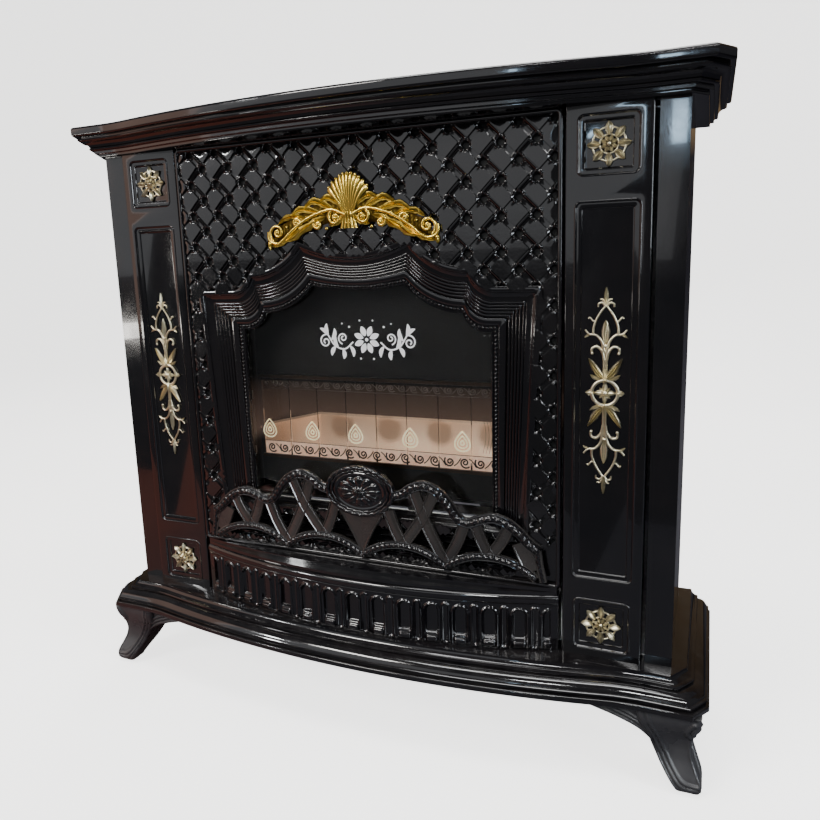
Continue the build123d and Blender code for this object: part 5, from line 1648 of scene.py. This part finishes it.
@dataclass
class Filigree:
    """Openwork of stems, scrolls and leaves about one middle, in X and Z."""

    name: str
    slot: Slot
    nodes: list[str]
    origin: Pair
    floor: float
    stem_depth: float
    shell: Shell = field(default_factory=Shell)

    def move(self, line: Array) -> Array:
        """Moves X and Z points to the ornament's middle."""
        return np.asarray(line, float) + np.asarray(self.origin)

    def stem(self, points: Points, thick: float = 1.5, thin: float = 0.9, count: int = 26,
             both: bool = True) -> None:
        """Adds a tapering bar through points, on both sides where asked."""
        line = smooth_line(np.asarray(points, float), count)
        self.bar(line, thick, thin, both)

    def bar(self, line: Array, thick: float, thin: float, both: bool = True) -> None:
        """Adds a tapering bar along a ready line."""
        for side in (1.0, -1.0) if both else (1.0,):
            turned = self.move(line * np.array([side, 1.0]))
            taper = np.linspace(thick, thin, len(line))
            tube(self.shell, at_depth(turned, self.stem_depth), taper, 8, crown=0.9)

    def curl(self, centre: Pair, radius: float, turns: float, start: float, way: int = 1,
             thick: float = 1.6) -> None:
        """Adds a spiral on both sides, ending in a bead."""
        line = scroll_line(centre, radius, turns, start, way)
        self.bar(line, thick, thick * 0.7)
        self.drop(centre, thick * 1.25)

    def drop(self, centre: Pair, radius: float, both: bool = True) -> None:
        """Adds a bead on both sides."""
        for side in (1.0, -1.0) if both else (1.0,):
            spot = self.move(np.array([[side * centre[0], centre[1]]]))
            beads(self.shell, at_depth(spot, self.stem_depth), (radius, radius * 1.2, radius), 10, 6)

    def frond(self, points: Points, width: float, rise: float = 2.4, ribs: int = 2, lobes: int = 0,
              both: bool = True) -> None:
        """Adds a leaf on both sides."""
        for side in (1.0, -1.0) if both else (1.0,):
            turned = self.move(np.asarray(points, float) * np.array([side, 1.0]))
            leaf(self.shell, turned.tolist(), width, rise, self.stem_depth + 0.4, self.floor,
                 ribs, lobes=lobes)

    def finish(self) -> None:
        """Makes the piece."""
        self.shell.piece(self.name, self.slot, nodes=self.nodes, angle=60)


@dataclass
class Rosette:
    """Cast rosette: eight pointed petals over a ring, round a small flower."""

    side: int
    level: str
    floor: float = 4.0
    radius: float = 26.0

    def build(self) -> None:
        """Builds the petals spoke by spoke."""
        name = self.level + ("_left" if self.side < 0 else "_right")
        level_z = UPPER_PANEL if self.level == "upper" else LOWER_PANEL
        work = Filigree("petalled_rosette_" + name, Slot.ANTIQUE, ["rosette_" + name],
                        (self.side * PILASTER_MIDDLE, level_z), self.floor, 2.2)
        turn = whole_turn(72)
        circle = np.stack([np.cos(turn), np.sin(turn)], 1)
        for reach, thick in ((19.6, 1.2), (11.0, 1.0)):
            tube(work.shell, at_depth(work.move(reach * circle), work.stem_depth + 0.6), thick, 8,
                 closed=True, crown=0.8)
        for index in range(8):
            angle = math.pi * index / 4
            petals = ((10.0, self.radius, 5.4, 5.0, 0.0), (3.0, 10.4, 2.9, 4.0, 0.5))
            for start, stop, width, rise, shift in petals:
                way = angle + shift * math.pi / 4
                spoke = [(reach * math.cos(way), reach * math.sin(way))
                         for reach in (start, (start + stop) / 2, stop)]
                work.frond(spoke, width, rise, 1, both=False)
        work.drop((0.0, 0.0), 2.8, both=False)
        plate = 12.0 * shares(4)[:, None, None] * circle[None] + work.origin
        front = np.stack([plate[..., 0], np.full(plate.shape[:2], self.floor - 1.0), plate[..., 1]], -1)
        rim = front[-1].copy()
        rim[:, 1] = self.floor
        work.shell.grid(np.concatenate([front, rim[None]]), wrap=True, caps=True, crown=0.0)
        work.finish()


@dataclass
class PilasterOrnament:
    """Slender spray on a pilaster: a ringed flower with leaves, scrolls and buds above and below."""

    side: int
    rise: float = 512.0

    def half(self, work: Filigree, way: float) -> None:
        """Adds the upper half, or the lower one turned over."""
        def over(points: Points) -> list[Pair]:
            return [(x, way * z) for x, z in points]

        work.stem(over([(1.5, 18.0), (1.5, 40.0), (1.2, 56.0)]), 1.5, 1.4, 12)
        work.frond(over([(1.5, 18.0), (9.5, 27.0), (20.5, 44.0)]), 5.2, 4.4)
        work.frond(over([(4.0, 17.0), (12.0, 19.0), (18.5, 23.0)]), 2.8, 3.0, 1)
        work.frond(over([(0.0, 11.0), (0.0, 20.0), (0.0, 30.0)]), 4.6, 5.0, 1, both=False)
        work.stem(over([(1.4, 42.0), (3.6, 52.0), (9.5, 58.5), (16.0, 57.0), (17.0, 50.5)]), 2.0, 1.5)
        work.drop((16.2, way * 50.5), 2.1)
        work.stem(over([(1.3, 52.0), (4.6, 65.0), (11.5, 73.0), (20.0, 74.5), (25.5, 80.0)]), 2.0, 1.1)
        work.frond(over([(18.0, 74.0), (22.0, 73.0), (26.5, 70.0)]), 1.8, 1.8, 1)
        work.stem(over([(15.2, 75.0), (14.6, 84.0), (9.6, 97.0), (1.0, 109.5)]), 1.7, 1.3)
        work.frond(over([(0.0, 62.0), (0.0, 76.0), (0.0, 92.0)]), 5.6, 1.6, 2, both=False)
        work.stem(over([(12.6, 90.0), (16.0, 91.5), (19.5, 95.5), (21.5, 94.0)]), 1.3, 0.9)
        work.stem(over([(0.6, 109.0), (4.5, 113.5), (9.0, 112.5), (9.6, 108.5)]), 1.5, 1.0)
        work.stem(over([(0.6, 112.0), (4.0, 117.5), (7.4, 118.0)]), 1.3, 0.9)
        work.frond(over([(0.0, 110.0), (0.0, 121.0), (0.0, 133.0)]), 3.0, 3.4, 1, both=False)
        work.drop((0.0, way * 60.0), 2.4, both=False)

    def build(self) -> None:
        """Builds the whole spray."""
        label = "right" if self.side > 0 else "left"
        work = Filigree("pilaster_spray_" + label, Slot.ANTIQUE, ["ornament_" + label],
                        (self.side * PILASTER_MIDDLE, self.rise), 4.0, 2.3)
        for way in (1.0, -1.0):
            self.half(work, way)
        turn = whole_turn(64)
        ring = work.move(16.2 * np.stack([np.cos(turn), np.sin(turn)], 1))
        tube(work.shell, at_depth(ring, work.stem_depth), 2.2, 10, closed=True, flat=0.8)
        for index in range(8):
            angle = math.pi * index / 4
            size = 13.2 if index % 2 == 0 else 9.5
            spokes = [(reach * math.cos(angle), reach * math.sin(angle)) for reach in (2.0, size / 2, size)]
            work.frond(spokes, 3.6 if index % 2 == 0 else 2.4, 2.4, 1, both=False)
        work.drop((0.0, 0.0), 3.6, both=False)
        work.frond([(12.0, 0.0), (18.0, 0.0), (24.0, 0.0)], 4.2, 4.6, 1)
        work.finish()


@dataclass
class Crest:
    """Gilt crest: a ribbed shell over scrolls, with a leafy swag to each side."""

    depth: float = -5.4
    floor: float = -3.0
    ribs: int = 11
    fan_foot: float = 246.0
    fan_tall: float = 54.0
    fan_fall: float = 22.0

    def shell_fan(self, shell: Shell) -> None:
        """Adds the shell: eleven ribs fanned over a dome, its edge scalloped.

        Between the ribs its face stands 1 + 3.4 sqrt(share) (1 - share^6) over its root plane.
        """
        share = np.linspace(0.02, 1.0, 30)[:, None]
        fan = shares(133, -1.0)[None, :]
        rib = np.abs(np.cos(fan * self.ribs * math.pi / 2))
        x = fan * (9.5 + 22.5 * share**1.6)
        tall = (self.fan_tall - self.fan_fall * fan**2) * share
        z = MIDDLE + self.fan_foot + tall * (0.955 + 0.045 * rib**0.7)
        lift = 1.0 + 3.4 * np.sqrt(share) * (1 - share**6) + 1.7 * rib * share**0.5 * (1 - 0.5 * share**8)
        front = np.stack([x, self.floor - 1.2 - lift, z], -1)
        crown = np.clip(0.05 + 0.95 * rib**0.8 + 0 * share, 0.0, 1.0)
        shell.slab(front, self.floor, crown)
        tips = np.linspace(1.0 - self.ribs, self.ribs - 1.0, self.ribs) / self.ribs
        tip_z = MIDDLE + self.fan_foot + self.fan_tall - self.fan_fall * tips**2
        spots = np.stack([tips * 32.0, np.full(self.ribs, self.floor - 1.0), tip_z], 1)
        beads(shell, spots, (2.5, 3.2, 2.5), 10, 5)

    def stand(self, shell: Shell) -> None:
        """Adds the fluted stand under the shell, flared at its foot."""
        z = np.linspace(731.0, 753.0, 16)[:, None]
        across = shares(49, -1.0)[None, :]
        half = 9.5 + 4.5 * ((753.0 - z) / 22.0) ** 1.6
        flute = np.abs(np.cos(across * 5 * math.pi / 2))
        lift = 2.4 + 2.4 * flute * (1 - across**4) + 1.4 * step_up(z, 746.5, 748.0)
        front = np.stack([half * across, self.floor - lift, z + 0 * across], -1)
        shell.slab(front, self.floor, np.clip(0.1 + 0.9 * flute, 0.0, 1.0) + 0 * z)

    def web(self, shell: Shell, side: float) -> None:
        """Adds the swag's backing: a rippled band from the shell to the tip, between two wavy edges."""
        share = shares(60)
        upper = smooth_line(np.array([(2.0, 262.0), (34.0, 266.0), (58.0, 260.0), (80.0, 248.0),
                                      (104.0, 239.0), (120.0, 226.0), (128.0, 210.0)]), 60)
        lower = smooth_line(np.array([(2.0, 236.0), (26.0, 233.0), (48.0, 231.0), (70.0, 224.0),
                                      (92.0, 219.0), (110.0, 214.0), (126.0, 204.0)]), 60)
        wave = 1.6 * np.abs(np.sin(9 * math.pi * share))[:, None] * np.array([0.3, 1.0])
        upper, lower = upper + wave - 1.5, lower - wave + 1.5
        a = shares(15)[None, :, None]
        place = lower[:, None, :] * (1 - a) + upper[:, None, :] * a
        dome = np.sin(math.pi * np.clip(a[..., 0], 0.02, 0.98)) ** 0.5
        ripple = 0.5 + 0.5 * np.cos(2 * math.pi * (22 * share[:, None] + 1.8 * a[..., 0]))
        lift = 1.2 * dome + 1.1 * ripple * dome
        front = np.stack([side * place[..., 0], self.floor - lift, place[..., 1] + MIDDLE], -1)
        shell.slab(front, self.floor, np.clip(0.02 + 0.28 * ripple * dome, 0.0, 1.0))

    def build(self) -> None:
        """Builds the shell, the scrolls and the swags."""
        work = Filigree("crest_relief", Slot.GILT, ["crest"], (0.0, MIDDLE), self.floor, self.depth)
        self.shell_fan(work.shell)
        self.stand(work.shell)
        for side in (-1.0, 1.0):
            self.web(work.shell, side)
        for points, width, rise in (
                ([(6.0, 250.0), (18.0, 263.0), (34.0, 269.0), (50.0, 261.0)], 6.5, 3.6),
                ([(20.0, 248.0), (36.0, 259.0), (56.0, 265.0), (74.0, 253.0)], 7.0, 3.8),
                ([(40.0, 246.0), (60.0, 253.0), (80.0, 254.0), (96.0, 242.0)], 6.8, 3.6),
                ([(62.0, 238.0), (82.0, 246.0), (102.0, 244.0), (114.0, 236.0)], 5.6, 3.2),
                ([(36.0, 243.0), (52.0, 238.0), (66.0, 229.0), (80.0, 222.0)], 7.0, 3.4),
                ([(58.0, 236.0), (74.0, 228.0), (88.0, 217.0), (104.0, 212.0)], 6.8, 3.4),
                ([(80.0, 228.0), (96.0, 218.0), (112.0, 209.0), (128.0, 205.0)], 5.6, 3.2),
                ([(2.0, 246.0), (10.0, 240.0), (20.0, 234.0), (32.0, 231.0)], 5.6, 3.0)):
            work.frond(points, width, rise, 3, lobes=4)
        work.stem([(4.0, 244.0), (24.0, 252.0), (46.0, 249.0), (70.0, 240.0), (92.0, 226.0), (108.0, 213.0),
                   (118.0, 209.0), (130.0, 214.0), (131.0, 226.0)], 2.9, 2.3, 70)
        curls = (((21.0, 241.0), 12.0, 1.6, 80.0, -1), ((49.0, 233.0), 8.5, 1.5, 70.0, -1),
                 ((116.0, 224.5), 14.0, 1.6, -60.0, 1), ((84.0, 237.0), 7.5, 1.4, 200.0, -1))
        for centre, radius, turns, start, way in curls:
            work.curl(centre, radius, turns, start, way, 2.5)
        for spot, radius in (((3.5, 233.0), 2.6), ((35.0, 227.0), 2.6), ((65.0, 244.0), 2.4),
                             ((100.0, 232.0), 2.2), ((130.0, 209.0), 2.8)):
            work.drop(spot, radius)
        work.frond([(124.0, 214.0), (130.0, 208.0), (130.0, 200.0)], 3.4, 2.6, 1)
        work.finish()


@dataclass
class GlassPrint:
    """Printed lines: a white flower spray on the window and brown scroll bands on the glass strips."""

    window_front: float = 18.8
    strip_front: float = 56.8
    strip_half: float = 202.0
    strip_pitch: float = 51.0
    lower_middle: float = -116.0
    upper_middle: float = -9.0
    middle: Pair = (8.0, 68.0)
    scale: float = 1.16
    film: float = 0.15
    shell: Shell = field(default_factory=Shell)

    def ribbon(self, line: Array, depth: float, half: Array | float) -> None:
        """Adds a flat printed shape along X and rise points, half its width to each side."""
        side = side_vectors(line) * half
        grid = np.stack([at_depth(edge, depth, MIDDLE) for edge in (line + side, line - side)], 1)
        self.shell.slab(grid, depth + self.film)

    def line(self, points: Array, depth: float, width: float) -> None:
        """Adds a printed line of even width."""
        self.ribbon(points, depth, width / 2)

    def petal(self, root: Pair, tip: Pair, half: float, bend: float = 0.0) -> None:
        """Adds a filled petal from root to tip, bent to one side, about the spray's middle."""
        t = shares(16)[:, None]
        start, end = self.scale * np.asarray(root, float), self.scale * np.asarray(tip, float)
        across = np.array([-(end - start)[1], (end - start)[0]])
        spine = start + t * (end - start) + bend * np.sin(math.pi * t) * across + np.asarray(self.middle)
        self.ribbon(spine, self.window_front, self.scale * half * np.sin(math.pi * (0.03 + 0.94 * t)) ** 0.8)

    def spray(self) -> None:
        """Builds the window's spray: an eight-petalled flower between two leafy, curling twigs."""
        middle = np.asarray(self.middle)
        for index in range(8):
            turn = math.pi * (index + 0.5) / 4
            way = np.array([math.cos(turn), math.sin(turn)])
            self.petal(tuple(5.0 * way), tuple(18.0 * way), 3.7)
        centre = np.array([middle[0], self.window_front + 0.1, middle[1] + MIDDLE])
        beads(self.shell, centre[None], (2.8, 0.2, 2.8), 14, 3)
        for side in (1.0, -1.0):
            flip = np.array([side, 1.0])
            twig = smooth_line(np.array([(19.0, -3.0), (31.0, -12.0), (45.0, -8.0), (55.0, 6.0)]), 40)
            for curve, width in ((twig, 2.3), (scroll_line((58.0, -3.0), 9.6, 1.5, 108.0, -1, 0.22, 44), 2.3),
                                 (scroll_line((33.0, 2.0), 8.0, 1.5, -80.0, 1, 0.22, 44), 2.1)):
                self.line(self.scale * curve * flip + middle, self.window_front, width)
            for root, tip, half, bend in (((24.0, -8.0), (19.0, -22.0), 2.6, -0.15),
                                          ((34.0, -12.5), (33.0, -25.0), 2.8, -0.12),
                                          ((44.0, -9.0), (50.0, -21.0), 2.8, 0.12),
                                          ((40.0, -10.5), (44.0, 6.0), 2.5, -0.15),
                                          ((50.0, -1.0), (45.0, 14.0), 2.7, 0.15),
                                          ((54.0, 5.0), (56.0, 20.0), 2.7, -0.12),
                                          ((55.0, 5.0), (66.0, 14.0), 2.4, 0.12)):
                self.petal((side * root[0], root[1]), (side * tip[0], tip[1]), half, side * bend)
            for spot, radius in (((9.0, -24.0), 1.7), ((9.0, 24.0), 1.5), ((24.0, 16.0), 1.8),
                                 ((34.0, 20.0), 1.3)):
                place = np.array([middle[0] + side * self.scale * spot[0], self.window_front + 0.1,
                                  middle[1] + self.scale * spot[1] + MIDDLE])
                beads(self.shell, place[None], (radius, 0.2, radius), 12, 3)
        self.piece("window_spray_print", "white_ink_painted_glow")

    def band(self, middle: float, radius: float, count: int, name: str, ink: str) -> None:
        """Builds one running scroll along the strips.

        Args:
            middle: rise of its middle.
            radius: radius of a curl.
            count: number of curls.
            name: the print's name.
            ink: the finish's name.
        """
        pitch = 2 * self.strip_half / count
        for index in range(count):
            x = -self.strip_half + (index + 0.5) * pitch
            way = 1 if index % 2 else -1
            self.line(scroll_line((x, middle), radius, 1.7, 180.0 * (way > 0) - 40.0, way, 0.2, 34),
                      self.strip_front, 0.27 * radius)
            link = np.array([(x + radius * 0.7, middle - way * radius * 0.7),
                             (x + pitch / 2, middle - way * radius * 0.2),
                             (x + pitch - radius * 0.7, middle + way * radius * 0.7)])
            self.line(smooth_line(link, 10), self.strip_front, 0.19 * radius)
        for edge in (-radius - 2.0, radius + 2.0):
            reach = self.strip_half + 1.0
            self.line(np.array([(-reach, middle + edge), (reach, middle + edge)]), self.strip_front, 0.9)
        self.piece(name, ink)

    def bands(self) -> None:
        """Builds both scroll bands, the lower one's pale ground and the fine side lines."""
        self.band(self.lower_middle, 9.0, 17, "lower_scroll_print", "brown_ink")
        self.band(self.upper_middle, 6.6, 22, "upper_scroll_print", "umber_ink")
        for index in range(8):
            start = (index - 4) * self.strip_pitch
            ground = np.array([(start + 1.0, self.lower_middle), (start + 49.0, self.lower_middle)])
            self.line(ground, self.strip_front + 0.17, 23.0)
        self.piece("scroll_ground_print", "peach_ink_painted_glow")
        for step in range(6):
            lean = quarter_turn(14)
            bowed = np.stack([170.0 + 4.6 * step + 5.0 * np.sin(lean * 2),
                              -44.0 - 56.0 * lean / (math.pi / 2)], 1)
            self.line(bowed, self.strip_front, 0.5)
        self.piece("side_line_print", "umber_ink")

    def drops(self) -> None:
        """Builds the pale drops, each of three loops in one another."""
        for x in (-193.0, -113.0, -36.0, 56.0, 139.0):
            turn = np.linspace(0.0, 2 * math.pi, 40)
            for size, width in ((1.0, 2.2), (0.62, 1.6), (0.24, 2.0)):
                drop = np.stack([x + size * 15.5 * np.sin(turn) * np.sin(turn / 2),
                                 -84.0 - 2.5 * (1 - size) + size * 15.0 * np.cos(turn)], 1)
                self.line(drop, self.strip_front, width)
        self.piece("strip_drop_print", "cream_ink_painted_glow")

    def piece(self, name: str, ink: str) -> None:
        """Makes one print of the lines gathered so far and starts afresh."""
        self.shell.piece(name, None, finish=ink)
        self.shell = Shell()

    def build(self) -> None:
        """Builds every print."""
        self.spray()
        self.bands()
        self.drops()


@dataclass
class FireSheet:
    """Bright sheet of the fire chamber: a back with splayed sides, a ledge along its top and a tray."""

    half: float = 227.0
    back_half: float = 169.0
    front: float = 64.0
    back: float = 182.5
    low: float = 331.0
    top: float = 422.5
    ledge: float = 15.0
    lip: float = 4.0

    def build(self) -> None:
        """Sweeps the folded section along the plan and lays the tray."""
        plan = np.array([(-self.half, self.front), (-self.back_half, self.back), (self.back_half, self.back),
                         (self.half, self.front)])
        inward = np.array([(1.0, -0.3), (0.62, -1.0), (-0.62, -1.0), (-1.0, -0.3)])
        section = [(0.0, self.low), (0.0, self.top), (self.ledge, self.top),
                   (self.ledge, self.top - self.lip), (self.ledge - 1.0, self.top - self.lip),
                   (self.ledge - 1.0, self.top - 1.0), (1.0, self.top - 1.0), (1.0, self.low)]
        rows = []
        for spot, way in zip(plan, inward):
            rows.append([(spot[0] + way[0] * step, spot[1] + way[1] * step, z) for step, z in section])
        shell = Shell()
        shell.grid(np.array(rows), wrap=True, caps=True)
        shell.piece("splayed_fire_sheet", Slot.COPPER, nodes=["reflector"])
        tray = Shell()
        tray.box((-self.half, self.front, self.low), (self.half, self.back, self.low + 1.0))
        tray.piece("fire_tray", Slot.BLACK_STEEL)


SIDES = (-1, 1)
ASSEMBLIES = [
    MANTEL, PLINTH, Surround(), WovenPanel(), Fender(), Apron(), Crest(), GlassPrint(), FireSheet(),
    *[Pilaster(side) for side in SIDES], *[PilasterOrnament(side) for side in SIDES],
    *[Rosette(side, level) for side in SIDES for level in ("upper", "lower")],
    *[Foot(side, end) for side in SIDES for end in SIDES],
]


@dataclass(frozen=True)
class SoftBox:
    """One soft studio light."""

    name: str
    place: Triple
    target: Triple
    width: float
    height: float
    power: float
    colour: Triple = (1.0, 1.0, 1.0)

    def build(self) -> None:
        """Hangs the light and turns it towards its target."""
        data = bpy.data.lights.new(self.name, "AREA")
        data.shape = "RECTANGLE"
        data.size, data.size_y = self.width, self.height
        data.energy = self.power
        data.color = self.colour
        lamp = bpy.data.objects.new(self.name, data)
        bpy.context.scene.collection.objects.link(lamp)
        lamp.location = self.place
        aim = Vector(self.target) - Vector(self.place)
        lamp.rotation_euler = aim.to_track_quat("-Z", "Y").to_euler()


@dataclass(frozen=True)
class Studio:
    """Pale floor, soft light and the camera at the photographed angle."""

    focal_pixels: float = 714.5142
    centre_pixels: Pair = (410.6474, 387.0116)
    frame_pixels: float = 820.0
    sensor: float = 36.0
    pitch: float = -0.1767
    roll: float = -0.031
    yaw: float = -0.398
    place: Triple = (0.4652, -0.9942, 0.6858)
    floor_front: float = -1.0
    boxes: tuple[SoftBox, ...] = (
        SoftBox("key_light", (-1.5, -2.6, 2.6), (0.0, 0.0, 0.5), 1.0, 0.6, 60.0, (1.0, 0.97, 0.93)),
        SoftBox("side_light", (2.9, -0.7, 1.5), (0.2, 0.0, 0.45), 0.35, 1.7, 45.0, (0.86, 0.93, 1.0)),
        SoftBox("top_light", (0.2, -0.5, 3.0), (0.0, 0.0, 0.4), 2.0, 0.8, 55.0),
        SoftBox("rear_light", (-0.6, 2.8, 2.2), (0.0, 0.0, 0.5), 1.8, 1.2, 60.0),
        SoftBox("front_lamp_left", (-2.6, -2.9, 1.9), (0.0, 0.0, 0.5), 0.22, 0.22, 16.0),
        SoftBox("front_lamp_low", (-2.9, -2.6, 0.30), (0.0, 0.0, 0.3), 0.30, 0.10, 2.5, (1.0, 0.96, 0.9)),
        SoftBox("front_lamp_high", (0.5, -3.2, 2.6), (0.0, 0.0, 0.5), 0.5, 0.16, 18.0),
        SoftBox("front_lamp_right", (1.8, -2.7, 1.9), (0.0, 0.0, 0.5), 0.2, 0.3, 18.0, (0.9, 0.95, 1.0)),
        SoftBox("blue_lamp", (0.30, -3.0, 1.30), (0.42, 0.0, 0.82), 0.07, 0.20, 0.9, (0.55, 0.78, 1.0)),
        SoftBox("grey_card", (-1.3, -3.0, 1.32), (0.0, 0.0, 0.6), 3.5, 1.4, 11.5, (0.95, 0.97, 1.0)),
        SoftBox("warm_card", (-3.0, -1.5, 1.2), (0.0, 0.0, 0.5), 1.6, 1.8, 9.0, (1.0, 0.64, 0.50)),
    )

    def hang_camera(self) -> None:
        """Sets the camera: forward from yaw and pitch, then rolled about that line."""
        forward = Vector((math.sin(self.yaw) * math.cos(self.pitch),
                          math.cos(self.yaw) * math.cos(self.pitch),
                          math.sin(self.pitch)))
        right = Vector((math.cos(self.yaw), -math.sin(self.yaw), 0.0))
        up = right.cross(forward)
        rolled_right = right * math.cos(self.roll) + up * math.sin(self.roll)
        rolled_up = up * math.cos(self.roll) - right * math.sin(self.roll)
        data = bpy.data.cameras.new("photo_camera")
        data.sensor_width = self.sensor
        data.lens = self.focal_pixels / self.frame_pixels * self.sensor
        data.shift_x = (self.frame_pixels / 2 - self.centre_pixels[0]) / self.frame_pixels
        data.shift_y = (self.centre_pixels[1] - self.frame_pixels / 2) / self.frame_pixels
        camera = bpy.data.objects.new("photo_camera", data)
        bpy.context.scene.collection.objects.link(camera)
        turn = Matrix((rolled_right, rolled_up, -forward)).transposed().to_4x4()
        camera.matrix_world = Matrix.Translation(self.place) @ turn
        bpy.context.scene.camera = camera

    def lay_floor(self) -> None:
        """Lays a pale floor that curves up far behind the heater."""
        reach, rise, bend_from, radius = 9.0, 6.0, 2.5, 2.5
        turn = quarter_turn(13)
        back = bend_from + radius * np.sin(turn)
        high = radius * (1.0 - np.cos(turn))
        depth = np.concatenate([[self.floor_front], back, [bend_from + radius]])
        height = np.concatenate([[0.0], high, [rise]])
        across = np.array([-reach, reach])
        grid = np.stack(np.broadcast_arrays(across[None, :], depth[:, None], height[:, None]), -1)
        index = np.arange(len(depth) * 2).reshape(-1, 2)
        quads = np.stack([index[:-1, 0], index[:-1, 1], index[1:, 1], index[1:, 0]], -1)
        mesh = bpy.data.meshes.new("studio_floor")
        mesh.from_pydata(grid.reshape(-1, 3).tolist(), [], quads.tolist())
        mesh.polygons.foreach_set("use_smooth", np.ones(len(mesh.polygons), bool))
        floor = bpy.data.objects.new("studio_floor", mesh)
        bpy.context.scene.collection.objects.link(floor)
        mesh.materials.append(self.floor_finish())

    def floor_finish(self) -> Material:
        """Wires the floor: pale to the camera, dark and softly warm in what the heater mirrors."""
        wires = Wiring("pale_floor")
        mottle = wires.effect("mottle", Scale=1.5)
        pale = wires.mix(mottle, (0.80, 0.79, 0.78), (0.84, 0.83, 0.82))
        seen = wires.node("LightPath").outputs["Is Camera Ray"]
        front = wires.mix(wires.spread(wires.along("X"), 0.0, 1.0, -1.0, -0.1), (0.30, 0.08, 0.05),
                          (0.085, 0.085, 0.10))
        low = wires.mix(wires.spread(wires.along("Y"), 0.0, 1.0, 0.0, 0.2), front, (0.022, 0.022, 0.032))
        beside = wires.math("MULTIPLY", wires.spread(wires.along("X"), 0.0, 1.0, 0.8, 1.1),
                            wires.spread(wires.along("Z"), 0.0, 1.0, 0.7, 0.9))
        warm = wires.math("MAXIMUM", beside, wires.spread(wires.along("Z"), 0.0, 1.0, 1.35, 1.6))
        unseen = wires.mix(warm, low, (0.55, 0.36, 0.18))
        wires.skin(Base_Color=wires.mix(seen, unseen, pale), Roughness=0.75)
        wires.skin(Emission_Color=wires.mix(seen, (0.0, 0.0, 0.0), (1.0, 0.995, 0.98)))
        wires.skin(Emission_Strength=2.4)
        return wires.material

    def light(self) -> None:
        """Hangs the soft boxes and sets the pale surroundings."""
        for box in self.boxes:
            box.build()
        world = bpy.data.worlds.new("soft_surroundings")
        bpy.context.scene.world = world
        world.use_nodes = True
        sky = world.node_tree.nodes["Background"]
        sky.inputs["Color"].default_value = (0.92, 0.94, 1.0, 1.0)
        sky.inputs["Strength"].default_value = 0.10

    def build(self) -> None:
        """Sets up the whole studio."""
        self.hang_camera()
        self.lay_floor()
        self.light()


def dress_nodes(frame: dict) -> None:
    """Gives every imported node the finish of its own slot."""
    for part in frame["record"]["subparts"]:
        node = frame["nodes"][part["node"]]
        finish = PALETTE[Slot(part["material_slot"]).value]
        node.data.materials.clear()
        node.data.materials.append(finish)
        log.info("%s: %s", part["node"], finish.name)


def main() -> None:
    """Builds the studio, the finishes and every sub-assembly."""
    logging.basicConfig(level=logging.INFO, format="%(name)s %(message)s")
    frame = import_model()
    build_palette()
    dress_nodes(frame)
    Studio().build()
    for assembly in ASSEMBLIES:
        assembly.build()


if __name__ == "__main__":
    main()
